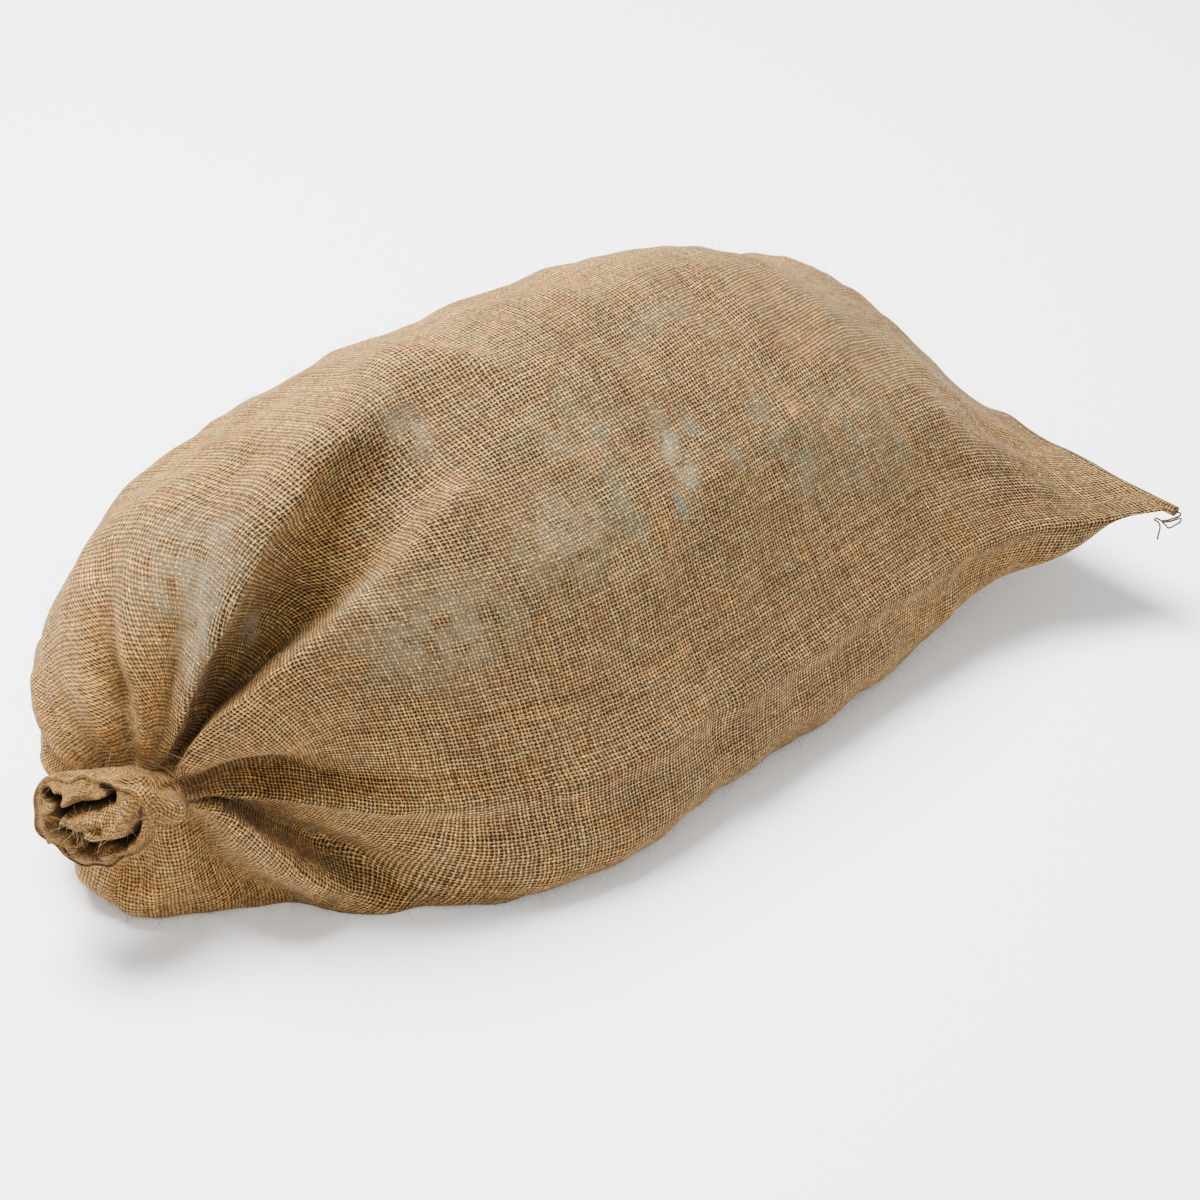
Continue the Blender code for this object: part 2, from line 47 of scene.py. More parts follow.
# Each section is a ring of cloth. Its points go over the top from the near edge to the far edge, and back
# below. Columns, in thousandths: cloth distance from the neck, then near edge, flank, near shoulder, crown,
# far shoulder, far edge, far foot, far floor, near floor and near foot.
SECTIONS = (
    (0, (18, -23, 99), (15, -19, 106), (8, -10, 111), (-1, 1, 113), (-10, 13, 110), (-18, 23, 101),
     (-14, 18, 93), (-6, 7, 88), (4, -6, 87), (13, -17, 91)),
    (30, (37, -40, 99), (31, -32, 121), (18, -16, 138), (0, 6, 148), (-16, 30, 140), (-25, 46, 112),
     (-24, 35, 82), (-18, 14, 66), (-2, -10, 63), (18, -28, 76)),
    (65, (60, -62, 97), (55, -52, 132), (42, -30, 168), (14, 10, 198), (-2, 57, 180), (-14, 84, 124),
     (-22, 61, 58), (-29, 30, 28), (-22, -9, 21), (14, -35, 41)),
    (100, (80, -84, 95), (78, -70, 138), (69, -45, 190), (42, 6, 235), (22, 77, 207), (4, 110, 130),
     (-6, 80, 36), (-14, 50, 4), (-4, -15, 0), (41, -48, 20)),
    (135, (103, -108, 92), (101, -88, 140), (95, -61, 204), (72, 4, 258), (54, 90, 222), (36, 129, 134),
     (26, 106, 28), (22, 70, -4), (45, -38, -4), (86, -78, 22)),
    (190, (145, -137, 87), (143, -118, 138), (138, -86, 212), (122, 0, 279), (104, 99, 236),
     (88, 142, 140), (85, 126, 35), (85, 90, -4), (121, -104, -4), (146, -145, 20)),
    (270, (225, -166, 82), (220, -141, 140), (216, -110, 212), (206, 0, 290), (192, 102, 249),
     (176, 148, 142), (175, 135, 38), (178, 100, -4), (204, -148, -4), (224, -178, 22)),
    (380, (335, -169, 80), (330, -143, 140), (328, -110, 213), (325, 0, 288), (320, 102, 246),
     (308, 148, 142), (306, 138, 38), (306, 105, -4), (322, -142, -4), (334, -173, 26)),
    (500, (455, -162, 80), (446, -138, 136), (440, -105, 207), (440, 0, 274), (440, 102, 234),
     (438, 146, 135), (436, 136, 36), (436, 105, -4), (446, -140, -4), (457, -168, 26)),
    (600, (553, -160, 81), (540, -136, 128), (534, -100, 188), (534, 2, 240), (538, 105, 205),
     (540, 158, 124), (520, 132, 32), (510, 95, -4), (520, -124, -4), (545, -156, 28)),
    (660, (607, -172, 83), (598, -140, 118), (598, -92, 160), (603, 4, 188), (613, 116, 168),
     (608, 188, 116), (576, 140, 40), (558, 80, 10), (566, -104, 8), (592, -158, 42)),
    (710, (648, -198, 84), (643, -152, 100), (644, -85, 124), (655, 10, 152), (662, 118, 146),
     (652, 210, 96), (620, 130, 50), (608, 70, 40), (610, -84, 44), (640, -186, 58)),
    (760, (694, -226, 86), (691, -160, 90), (689, -80, 92), (688, 10, 91), (689, 110, 87),
     (692, 226, 72), (689, 110, 87), (688, 10, 91), (689, -80, 92), (691, -160, 90)),
)
# How many of a section's points are on top.
TOP_POINTS = 6
# Points along the curve through a section, and the least step between its points.
PANEL_POINTS = 321
SHORTEST_STEP = 1e-6
# Added to lengths that are divided by.
LEAST_LENGTH = 1e-12

# Grid of the fine cloth surface: its rings lie closer together towards the neck.
COLUMNS = 330
BODY_RINGS = 180
RING_CROWDING = 1.25
FLARE_RINGS = 20
FACE_RINGS = 60
FIRST_TURN = -0.25
# The cloth on the mouth's face: how much closer its weave is, and where its middle is on the flat cloth.
FACE_TIGHTNESS = 1.2
FACE_CLOTH_PLACE = (-0.3, 0)
# Radius of the face's innermost ring.
FACE_MIDDLE = 0.0005

# Folds of the gathered cloth. A negative height is a valley.
# Columns, in thousandths: cloth distance from the neck, turn, height, half width on the low-turn side, and on
# the high-turn side.
FOLDS = {
    "side crease": ((0, 0, 4, 4, 4), (30, -6, 9, 5, 4), (80, -5, 10, 7, 5), (140, -1, 8, 9, 7),
        (250, 0, 5, 11, 9), (620, 0, 4, 10, 9), (740, 0, 0, 8, 8)),
    "valley above the crease": ((0, 36, -2, 5, 5), (36, 22, -14, 6, 9), (70, 16, -17, 6, 13),
        (100, 13, -12, 7, 18), (135, 13, -5, 9, 22), (165, 16, 0, 12, 24)),
    "near roll": ((0, 108, 5, 8, 5), (20, 114, 13, 18, 7), (50, 115, 18, 34, 10), (80, 112, 20, 50, 12),
        (125, 125, 19, 72, 13), (170, 145, 16, 88, 15), (225, 170, 11, 90, 18), (270, 195, 6, 85, 24),
        (320, 225, 0, 80, 32)),
    "deep valley": ((0, 142, -4, 6, 5), (30, 153, -19, 8, 8), (60, 159, -27, 11, 11),
        (95, 165, -29, 16, 17), (146, 182, -26, 23, 25), (194, 202, -19, 29, 31), (245, 224, -10, 34, 36),
        (300, 240, 0, 36, 38)),
    "far roll": ((0, 172, 4, 5, 6), (45, 197, 10, 7, 11), (99, 210, 17, 9, 18), (153, 234, 17, 11, 22),
        (207, 257, 13, 15, 26), (245, 268, 9, 20, 28), (290, 286, 5, 30, 28), (340, 300, 0, 44, 30)),
    "arc off the far roll": ((262, 296, 0, 18, 18), (293, 292, 6, 20, 16), (312, 276, 7, 20, 16),
        (331, 250, 6, 22, 18), (356, 238, 4, 26, 20), (410, 230, 0, 30, 24)),
    "valley behind the far roll": ((6, 203, -1, 4, 5), (29, 210, -7, 5, 6), (60, 221, -9, 7, 10),
        (105, 242, -8, 10, 18), (155, 276, -6, 14, 28), (210, 306, -4, 18, 34), (270, 330, 0, 24, 40)),
    "small pleat": ((0, 236, 2, 5, 5), (29, 250, 7, 6, 6), (45, 268, 8, 8, 8), (75, 290, 4, 12, 12),
        (110, 300, 0, 16, 16)),
    "dimple": ((0, 285, -1, 5, 5), (19, 296, -7, 6, 6), (36, 302, -12, 9, 11), (56, 308, -7, 12, 16),
        (85, 315, 0, 14, 20)),
    "pleat past the dimple": ((0, 335, 2, 5, 6), (35, 345, 6, 9, 12), (80, 350, 0, 14, 20)),
    "pocket under the crease": ((0, -22, -3, 4, 4), (30, -32, -12, 6, 6), (70, -40, -18, 7, 10),
        (105, -55, -17, 8, 13), (134, -70, -12, 9, 15), (160, -86, -6, 10, 18), (200, -104, 0, 12, 20)),
    "strap": ((0, -36, 14, 9, 8), (35, -60, 18, 16, 10), (75, -68, 22, 20, 11), (105, -83, 21, 21, 11),
        (140, -102, 14, 21, 12), (185, -124, 0, 21, 13)),
    "valley under the strap": ((0, -122, -5, 7, 6), (35, -118, -12, 9, 8), (79, -119, -14, 11, 10),
        (110, -130, -10, 12, 11), (150, -148, 0, 14, 12)),
    "tuck under the mouth": ((10, -200, 0, 18, 18), (45, -190, -3, 24, 22), (85, -185, -5, 32, 28),
        (130, -182, -3, 36, 30), (180, -180, 0, 36, 30)),
    "hollow under the mouth": ((20, -225, 0, 10, 10), (48, -228, -10, 14, 12), (80, -235, 0, 18, 16)),
}
# How far a roll leans towards its high-turn side, as a share of its height. A valley's share is how far its
# floor reaches under the roll on its low-turn side.
LEANS = {
    "near roll": 0.6,
    "deep valley": 0.4,
    "far roll": -0.5,
    "valley above the crease": -0.2,
    "pocket under the crease": 0.5,
    "strap": 0.5,
}
# The leans grow from nothing at the neck to their full share over this much cloth.
LEAN_REACH = 0.03
# Folds with a flat floor between steep sides.
FLAT_FLOORS = ("deep valley",)
# Fine pleats round the underside of the neck, highest at PLEAT_REACH, between the turns of PLEAT_SPAN.
PLEAT_COUNT = 13
PLEAT_HEIGHT = 0.004
PLEAT_REACH = 0.055
PLEAT_SPAN = (0.38, 0.80)
# Thickness of the closed bottom edge.
SEAM_THICKNESS = 0.004

# Cloth lost in the valleys of the gathers. Columns: fold, share of the lost cloth, width of the tuck.
TUCKS = (
    ("deep valley", 0.22, 0.005),
    ("valley above the crease", 0.10, 0.005),
    ("pocket under the crease", 0.14, 0.005),
    ("valley behind the far roll", 0.14, 0.005),
    ("dimple", 0.10, 0.006),
    ("valley under the strap", 0.12, 0.005),
)
# Cloth round the whole sack, the tucks' cloth counted in.
CLOTH_ROUND = 0.935
# How far from the neck the true length of the cloth counts, and how often lengths are evened out.
NECK_REACH = 0.15
LENGTH_SMOOTHING = 12
# Tucks on the far side and below: turns.
HIDDEN_TUCKS = (0.42, 0.50, 0.58, 0.66, 0.74)
HIDDEN_TUCK_WIDTH = 0.006

# The mouth is turned over and bunched into a rosette. Its face looks along MOUTH_AXIS.
MOUTH_CENTRE = (-0.042, -0.006, 0.096)
MOUTH_AXIS = (-0.82, -0.46, 0.30)
# Rim radius of the rosette at every thirty degrees, from the near side over the top.
MOUTH_RIM = (0.040, 0.039, 0.033, 0.028, 0.030, 0.039, 0.037, 0.034, 0.030, 0.029, 0.029, 0.034)
# Rings from the neck to the face. Columns: advance along the axis, spread out to the rim.
MOUTH_FLARE = (
    (0.10, 0.03), (0.20, 0.14), (0.33, 0.36), (0.50, 0.62), (0.68, 0.85), (0.85, 0.97), (1.00, 1.00),
    (1.08, 0.94),
)
# Folds that run over the flare, as the strap does when it leaves the mouth.
# Columns, in thousandths: advance along the axis, turn, height, half width.
FLARE_FOLDS = {
    "strap's start": ((0, -30, 0, 8), (200, -15, 5, 9), (450, 15, 10, 10), (700, 55, 9, 9),
        (900, 95, 4, 8), (1080, 120, 0, 8)),
    "groove beside the strap": ((0, -110, 0, 6), (200, -85, -6, 6), (450, -50, -11, 7),
        (700, -15, -10, 8), (1000, 10, 0, 8)),
    "groove above the strap": ((0, 30, 0, 5), (200, 50, -4, 5), (450, 95, -6, 6), (700, 140, -5, 6),
        (1000, 180, 0, 6)),
    "lower pleat": ((0, -190, 0, 6), (300, -160, 6, 7), (600, -120, 7, 8), (1000, -80, 0, 8)),
}
# How far the face bulges, and how far all of it stands off the rim.
MOUTH_DOME = 0.007
MOUTH_LIFT = 0.003
# Width of the rounded lip round the face, as a share of the rim's radius.
RIM_ROLL = 0.26
# Unevenness of the rim: waves round it, where they start and their size.
RIM_WAVES = ((4, 1.1, 0.0010), (7, 2.3, 0.0012), (11, 0.4, 0.0007))
# Rolled layers seen on the face, and the slits between them. Columns, in thousandths: height, half width,
# and the places across and up that it runs through.
MOUTH_LAYERS = {
    "upper roll": (5, 4.5, ((-16, 24.5), (-10, 19), (-3.5, 21), (5.4, 23.5))),
    "pocket's lip": (5, 2.8, ((-33.5, 7), (-32.5, 17), (-27, 21.5), (-20, 18.5))),
    "turned lip": (9, 3.5, ((6, -3), (14, -2), (23, 4), (27, 16), (23, 29))),
    "tongue": (7, 3.6, ((-12, 2), (0, 4.5), (11, 6.5))),
    "lower roll": (6, 4.2, ((-18, -12), (-7, -16.8), (2, -21), (11, -18), (19, -14))),
    "corner curl": (5, 3, ((34, -7), (38, -4), (39, 3))),
    "left roll": (4, 4, ((-29, 3), (-26, -6), (-19, -12))),
    "left curl": (4, 2.8, ((-14, -16.5), (-9, -20.5), (-4, -18.5), (-6, -14))),
    "inner fold": (8, 3, ((-25, 4.5), (-17, 10), (-9, 15))),
    "left pocket": (-22, 4.2, ((-27, 13), (-20, 11.5))),
    "upper slit": (-22, 2.1, ((-17, 4.7), (-6.5, 10.4), (6.7, 15), (13.8, 17.6))),
    "slit's hook": (-20, 2.4, ((13.8, 17.6), (13.6, 23.3), (7.4, 25.4))),
    "inner slit": (-20, 2.4, ((-17, 4.7), (-16.5, -1.4), (-11.5, -6.3))),
    "lower slit": (-24, 2.2, ((-15, -7), (-7, -8), (1.6, -8.5), (11.3, -8.7), (21, -8), (26, -4.6))),
    "side groove": (-13, 2.4, ((27.5, 29), (33.5, 19.7), (32.5, 8.4), (29, -3))),
    "curl's groove": (-12, 1.8, ((0, -13.5), (6, -14.5), (10, -19.5))),
    "left curl's groove": (-9, 1.6, ((-17, -13.5), (-10, -16.5), (-7.5, -18.5))),
    "lower crease": (-10, 1.8, ((20, -18), (16, -13), (24, -9))),
}

# Slow unevenness of the stuffed cloth, which grows to its full height at WRINKLE_START.
WRINKLE_WAVES = 36
WRINKLE_HEIGHT = 0.00035
WRINKLE_LENGTHS = (0.022, 0.080)
WRINKLE_START = 0.05
# Crumpling of the rolled mouth.
CRUMPLE_WAVES = 14
CRUMPLE_HEIGHT = 0.0007
CRUMPLE_LENGTHS = (0.006, 0.016)
SWELL_SEED = 11

# The loose end of the closing thread hangs beside the near ear.
THREAD_THICKNESS = 0.0009
# Radius of the thread with its fluff, as a share of the thickness.
THREAD_FLUFF = 0.72
THREAD_ALONG = (0.88, -0.47, 0.0)
# Columns, in thousandths: along, up and out from the ear's tip.
THREAD_ROUTE = (
    (0.2, -0.6, 2), (2.4, -1, 2), (4.4, -2, 2), (5.2, -3.6, 2), (3.9, -4.8, 2), (-0.5, -5.8, 2),
    (-4.9, -6.5, 2), (-7.6, -6.2, 2), (-7.2, -7.8, 2), (-5, -10.2, 2), (-2.2, -13.2, 2),
    (1.5, -11.7, 2), (5, -9.6, 2.2), (5.6, -7.4, 2.8), (4.1, -5.4, 3.6), (-0.5, -6.2, 3.6),
    (-4.9, -6.7, 3.6), (-8.5, -5.2, 3.6), (-13, -2.2, 3.6), (-14.2, -3.4, 3.6), (-11.2, -5.8, 3.6),
    (-9.8, -9.2, 3.6), (-9.8, -12.8, 3.6), (-10.4, -16.5, 3.6), (-10.5, -19.8, 3.6),
)
THREAD_STEPS = 4

# Loose fibres: how many on the mouth, over all the sides and along the lower edge, and that edge's turns.
FUZZ_SEED = 5
FUZZ_MOUTH = 160
FUZZ_ALL_OVER = 2600
FUZZ_LOW_EDGE = 2400
LOW_EDGE = (-0.24, -0.06)
# Their lengths and radius, the share that they thin by, and how they rise, scatter and lean aside.
FUZZ_LENGTHS = (0.004, 0.014)
FUZZ_RADIUS = 0.00010
FUZZ_TAPER = 0.5
FUZZ_RISE = (0.25, 0.9)
FUZZ_LEAST_RISE = 0.15
FUZZ_SCATTER = 0.55
FUZZ_LEAN = 0.5
# Nothing loose comes nearer to the floor than this.
FLOOR_GAP = 0.0002

# The sewn bottom seam: half its height, how much wider it is than high, and its length.
SEAM_ROLL = 0.0026
SEAM_FLATNESS = 1.15
SEAM_RUN = 0.46
# Its way ahead is taken between places this far before and after.
SEAM_STEP = 0.01
# How far it passes the ears' tips.
SEAM_OVERHANG = 0.0025
# Its blunt tips.
SEAM_TIP = 0.02
SEAM_TIP_LIMIT = 0.995
SEAM_BLUNTNESS = 150
# Its uneven thickness.
SEAM_WAVES = 12
SEAM_UNEVENNESS = 0.40
SEAM_WAVE_LENGTHS = (0.012, 0.05)
# Stitches over the seam: how many, between which shares of its length, and how far each leans along it.
STITCHES = 52
STITCH_SPAN = (0.015, 0.985)
STITCH_SLANT = 0.0050
# Where round the seam a stitch starts and ends, in half turns. It runs straight between the two.
STITCH_WRAP = (-0.22, 1.23)
STITCH_RADIUS = 0.0006
# How far a stitch's middle is off the seam, as a share of its radius.
STITCH_LIFT = 0.6

# Weave: yarn to yarn, and half a yarn's width in yarns.
YARN_PITCH = 0.0025
YARN_HALF_WIDTH = 0.31
# How far yarns wander, lie off their places, swell and differ in width, in yarns.
YARN_WANDER = 0.6
YARN_SHIFT = 0.24
SLUB_SIZE = 0.34
YARN_SPREAD = 0.07
# What a yarn's height is made of: its round top, its way over and under, and its least height.
YARN_ROUND = 0.50
YARN_WAVE = 0.32
YARN_BASE = 0.18
WEAVE_DEPTH = 0.0008
# The twist of a thread in radians a metre, and how deep it is.
TWIST = 5200
TWIST_DEPTH = 0.0002

# Camera at the photograph's angle.
CAMERA_PLACE = (-1.24654, -1.40337, 1.44193)
CAMERA_HEADING = 43
CAMERA_DIP = 36
CAMERA_LENS = 106.5
# The place that the lights aim at, the sky's strength, and the floor.
LIGHT_AIM = (0, 0, 0.1)
SKY_STRENGTH = 0.90
FLOOR_SIZE = 12
FLOOR_DROP = 0.0004
FLOOR_TONE = (0.94, 0.94, 0.94, 1)


# ---- shape of the cloth


def thousandths(values):
    """Values of a table, in metres and turns."""
    return np.array(values) / 1000


def bell(share):
    """1 in the middle and smoothly down to nothing on both sides."""
    return np.exp(-(share**2))


def unit(vectors):
    """The same ways, each 1 long."""
    return vectors / (np.linalg.norm(vectors, axis=-1, keepdims=True) + LEAST_LENGTH)


def run_length(steps, axis=0):
    """The length run before the first step and after each one."""
    return np.insert(np.cumsum(steps, axis=axis), 0, 0, axis=axis)


def closed(rings):
    """Rings with their first column again at the end."""
    return np.concatenate([rings, rings[:, :1]], axis=1)


def curve_through(points, at, where):
    """Points at the given places on a smooth curve through the rows of points."""
    slopes = np.gradient(points, at, axis=0)
    index = np.clip(np.searchsorted(at, where, side="right") - 1, 0, len(at) - 2)
    shape = (-1,) + (1,) * (points.ndim - 1)
    span = (at[index + 1] - at[index]).reshape(shape)
    f = (where - at[index]).reshape(shape) / span
    start, end = points[index], points[index + 1]
    return (
        (2 * f**3 - 3 * f**2 + 1) * start
        + (f**3 - 2 * f**2 + f) * span * slopes[index]
        + (3 * f**2 - 2 * f**3) * end
        + (f**3 - f**2) * span * slopes[index + 1]
    )


def panel(points, fractions):
    """One face of the sack at a section: a smooth curve through its points, measured along the cloth."""
    steps = np.linalg.norm(np.diff(points, axis=0), axis=1)
    at = run_length(np.sqrt(steps) + SHORTEST_STEP)
    fine = curve_through(points, at, np.linspace(0, at[-1], PANEL_POINTS))
    length = run_length(np.linalg.norm(np.diff(fine, axis=0), axis=1))
    return np.stack([np.interp(fractions, length / length[-1], fine[:, k]) for k in range(3)], axis=1)


def plain_surface(distance, turn):
    """The sack without folds, as rings of points at the given cloth distances and turns."""
    at = thousandths([row[0] for row in SECTIONS])
    cage = thousandths([row[1:] for row in SECTIONS])
    top = turn % 1 < 0.5
    rings = np.empty((len(distance), len(turn), 3))
    for ring, row in zip(rings, curve_through(cage, at, distance)):
        ring[top] = panel(row[:TOP_POINTS], turn[top] % 1 * 2)
        ring[~top] = panel(np.concatenate([row[TOP_POINTS - 1:], row[:1]]), turn[~top] % 1 * 2 - 1)
    return rings


def way_round(points):
    """The way round closed rings at each point, from one neighbour to the other."""
    return np.roll(points, -1, axis=1) - np.roll(points, 1, axis=1)


def outward(points):
    """Unit normals of closed rings of points."""
    return unit(np.cross(np.gradient(points, axis=0), way_round(points)))


def arcs(points):
    """Lengths of the steps round closed rings."""
    return np.linalg.norm(np.diff(closed(points), axis=1), axis=2)


def fold_rows(name, distance):
    """Turn, height and half widths of a fold at the given distances, and where the fold reaches."""
    table = thousandths(FOLDS[name])
    at = np.clip(distance, table[0, 0], table[-1, 0])
    inside = (distance >= table[0, 0]) & (distance <= table[-1, 0])
    return curve_through(table[:, 1:], table[:, 0], at).T[..., None], inside[:, None]


def turn_offset(turn, centre, perimeter):
    """Distance round the sack from a fold's centre."""
    return ((turn - centre + 0.5) % 1 - 0.5) * perimeter


def fold_shift(distance, turn, perimeter):
    """Height of the folds above the plain surface, and how far they lean round the sack."""
    height = np.zeros((len(distance), len(turn)))
    lean = np.zeros_like(height)
    for name in FOLDS:
        (centre, size, low, high), inside = fold_rows(name, distance)
        offset = turn_offset(turn, centre, perimeter)
        share = np.abs(offset) / np.where(offset < 0, low, high)
        bump = inside * size * np.exp(-share ** (4 if name in FLAT_FLOORS else 2))
        height += bump
        lean += bump * LEANS.get(name, 0)
    start, end = PLEAT_SPAN
    across = np.clip((turn % 1 - start) / (end - start), 0, 1)
    pleats = PLEAT_HEIGHT * np.sin(math.pi * across) * np.cos(math.pi * PLEAT_COUNT * across)
    rise = (distance / PLEAT_REACH) * np.exp(1 - distance / PLEAT_REACH) * (distance < 4 * PLEAT_REACH)
    lean *= np.clip(distance / LEAN_REACH, 0, 1)[:, None]
    return height + rise[:, None] * pleats[None, :], lean


def body_rings(distance, turn):
    plain = plain_surface(distance, turn)
    height, lean = fold_shift(distance, turn, arcs(plain).sum(axis=1, keepdims=True))
    points = plain + outward(plain) * height[..., None] + unit(way_round(plain)) * lean[..., None]
    place = turn % 1
    bulge = SEAM_THICKNESS / 2 * np.abs(np.sin(2 * math.pi * place)) ** 0.5
    points[-1, :, 2] += np.where(place < 0.5, bulge, -bulge)
    return points


def swells(along, across, count, size, lengths):
    """Small uneven swells of the cloth, the same each run."""
    rng = np.random.default_rng(SWELL_SEED)
    height = np.zeros_like(across)
    for _ in range(count):
        length = rng.uniform(*lengths)
        angle = rng.uniform(0, math.pi)
        phase = rng.uniform(0, 2 * math.pi)
        wave = (along * math.cos(angle) + across * math.sin(angle)) * 2 * math.pi / length + phase
        height += size * length / lengths[1] * np.sin(wave)
    return height


def mouth_frame():
    axis = unit(np.array(MOUTH_AXIS))
    across = unit(np.array([-axis[1], axis[0], 0]))
    return axis, across, np.cross(axis, across)


def distance_to_path(places, path):
    """Distance of every place to a chain of straight pieces."""
    nearest = np.full(places.shape[:-1], np.inf)
    for start, end in zip(path[:-1], path[1:]):
        piece = end - start
        f = np.clip(((places - start) @ piece) / (piece @ piece), 0, 1)
        nearest = np.minimum(nearest, np.linalg.norm(places - start - f[..., None] * piece, axis=-1))
    return nearest


def mouth_relief(places):
    """Height of the mouth's face at the given places across and up."""
    height = np.zeros(places.shape[:-1])
    for size, width, path in MOUTH_LAYERS.values():
        gap = distance_to_path(places, thousandths(path))
        height += thousandths(size) * bell(gap / thousandths(width))
    return height + swells(places[..., 0], places[..., 1], CRUMPLE_WAVES, CRUMPLE_HEIGHT, CRUMPLE_LENGTHS)


def flare_folds(advance, turn, place):
    """A ring of the flare with its folds, pushed out from the middle of the ring."""
    out = place - place.mean(axis=0)
    reach = np.linalg.norm(out, axis=1)
    perimeter = 2 * math.pi * reach.mean()
    height = np.zeros(len(turn))
    for rows in FLARE_FOLDS.values():
        table = thousandths(rows)
        if table[0, 0] < advance < table[-1, 0]:
            centre, size, width = curve_through(table[:, 1:], table[:, 0], np.array([advance]))[0]
            height += size * bell(turn_offset(turn, centre, perimeter) / width)
    return place + out * (height / reach)[:, None]


def mouth_rings(neck, turn):
    """Rings from the neck out to the rosette's rim and in over its face."""
    axis, across, up = mouth_frame()
    centre = np.array(MOUTH_CENTRE)
    local = np.stack([(neck - centre) @ across, (neck - centre) @ up], axis=1)
    behind = (neck - centre) @ axis
    radii = np.array(MOUTH_RIM * 3)
    places = np.arange(len(radii)) / len(MOUTH_RIM) - 1
    radius = curve_through(radii[:, None], places, turn % 1)[:, 0]
    for waves, start, size in RIM_WAVES:
        radius = radius + size * np.sin(2 * math.pi * waves * turn + start)
    rim = np.stack([np.cos(2 * math.pi * turn), np.sin(2 * math.pi * turn)], axis=1) * radius[:, None]
    flare = np.array(((0.0, 0.0),) + MOUTH_FLARE)
    steps = np.linspace(0, len(flare) - 1, FLARE_RINGS + 1)[1:]
    layers = []
    for advance, spread in curve_through(flare, np.arange(len(flare), dtype=float), steps):
        place = flare_folds(advance, turn, local * (1 - spread) + rim * spread)
        layers.append((place, behind * (1 - advance)))
    for spread in np.linspace(flare[-1, 1], 0, FACE_RINGS + 1)[1:-1]:
        place = rim * spread
        inward = np.clip((flare[-1, 1] - spread) / RIM_ROLL, 0, 1)
        lifted = math.sqrt(1 - (1 - inward) ** 2) * (MOUTH_DOME * (1 - spread**2) + MOUTH_LIFT)
        layers.append((place, lifted + inward**2 * (3 - 2 * inward) * mouth_relief(place)))
    rings = [centre + place @ np.stack([across, up]) + depth[:, None] * axis for place, depth in layers]
    middle = centre + (MOUTH_DOME + MOUTH_LIFT + mouth_relief(np.zeros((1, 2)))[0]) * axis
    return np.array(rings), middle


def evened(lengths):
    """Lengths with the differences between neighbouring columns smoothed out."""
    for _ in range(LENGTH_SMOOTHING):
        lengths = (np.roll(lengths, 1, axis=1) + lengths + np.roll(lengths, -1, axis=1)) / 3
    return lengths


def lengthwise(points, distance):
    """Cloth used up along the sack: the true length near the neck, the plain distance beyond it."""
    length = evened(run_length(np.linalg.norm(np.diff(points, axis=0), axis=2)))
    plain = distance[:, None]
    return plain + (length - plain) * bell(plain / NECK_REACH)


def tucked_cloth(distance, turn, points):
    """Cloth used up round the sack from the side crease: what shows, and what the tucks between it hide."""
    used = arcs(points)
    perimeter = used.sum(axis=1, keepdims=True)
    hidden = np.maximum(CLOTH_ROUND - perimeter, 0)
    tucks = [(fold_rows(name, distance)[0][0], share, width) for name, share, width in TUCKS]
    left = 1 - sum(share for _, share, _ in TUCKS)
    tucks += [(centre, left / len(HIDDEN_TUCKS), HIDDEN_TUCK_WIDTH) for centre in HIDDEN_TUCKS]
    for centre, share, width in tucks:
        tuck = bell(turn_offset(turn, centre, perimeter) / width)
        used += hidden * share * tuck / tuck.sum(axis=1, keepdims=True)
    total = run_length(used, axis=1)
    crease = int(np.argmin(np.abs(turn)))
    return total - total[:, crease:crease + 1]


def mouth_cloth(neck, mouth):
    """Cloth coordinates of the mouth's flared sides, and of its face, which starts at the same rim ring."""
    steps = np.linalg.norm(np.diff(np.concatenate([neck[None], mouth]), axis=0), axis=2)
    along = -np.cumsum(steps, axis=0)
    across = run_length(arcs(mouth), axis=1)
    _, side, up = mouth_frame()
    face = mouth[FLARE_RINGS - 1:] - np.array(MOUTH_CENTRE)
    places = unit(np.stack([face @ up, face @ side], axis=2))
    inward = np.linalg.norm(np.diff(face, axis=0), axis=2)
    from_middle = np.concatenate([np.cumsum(inward[::-1], axis=0)[::-1], inward[:1] * 0]) + FACE_MIDDLE
    flat = places * (evened(from_middle) * FACE_TIGHTNESS)[..., None] + FACE_CLOTH_PLACE
    return np.stack([closed(along), across], axis=2)[:FLARE_RINGS], closed(flat)


def sack_surface():
    """The cloth as one grid of points, the flat places of the face and of the sides, and the middle."""
    turn = FIRST_TURN + np.arange(COLUMNS) / COLUMNS
    distance = thousandths(SECTIONS[-1][0]) * np.linspace(0, 1, BODY_RINGS) ** RING_CROWDING
    body = body_rings(distance, turn)
    mouth, middle = mouth_rings(body[0], turn)
    across = tucked_cloth(distance, turn, body)
    along = lengthwise(body, distance)
    uneven = swells(along, across[:, :-1], WRINKLE_WAVES, WRINKLE_HEIGHT, WRINKLE_LENGTHS)
    uneven *= np.clip(distance / WRINKLE_START, 0, 1)[:, None]
    body += outward(body) * uneven[..., None]
    body[..., 2] = np.maximum(body[..., 2], 0)
    flare, face = mouth_cloth(body[0], mouth)
    sides = np.stack([closed(along), across], axis=2)
    return np.concatenate([mouth[::-1], body]), face[::-1], np.concatenate([flare[::-1], sides]), middle


def bridge(first, second):
    """Triangles between two rows of vertex numbers that are equally long and share their ends."""
    faces = []
    for a, b, c, d in zip(first[:-1], first[1:], second[1:], second[:-1]):
        faces += [corners for corners in ((a, b, d), (b, c, d)) if len(set(corners)) == 3]
    return faces


def new_object(name, data):
    made = bpy.data.objects.new(name, data)
    bpy.context.scene.collection.objects.link(made)
    return made


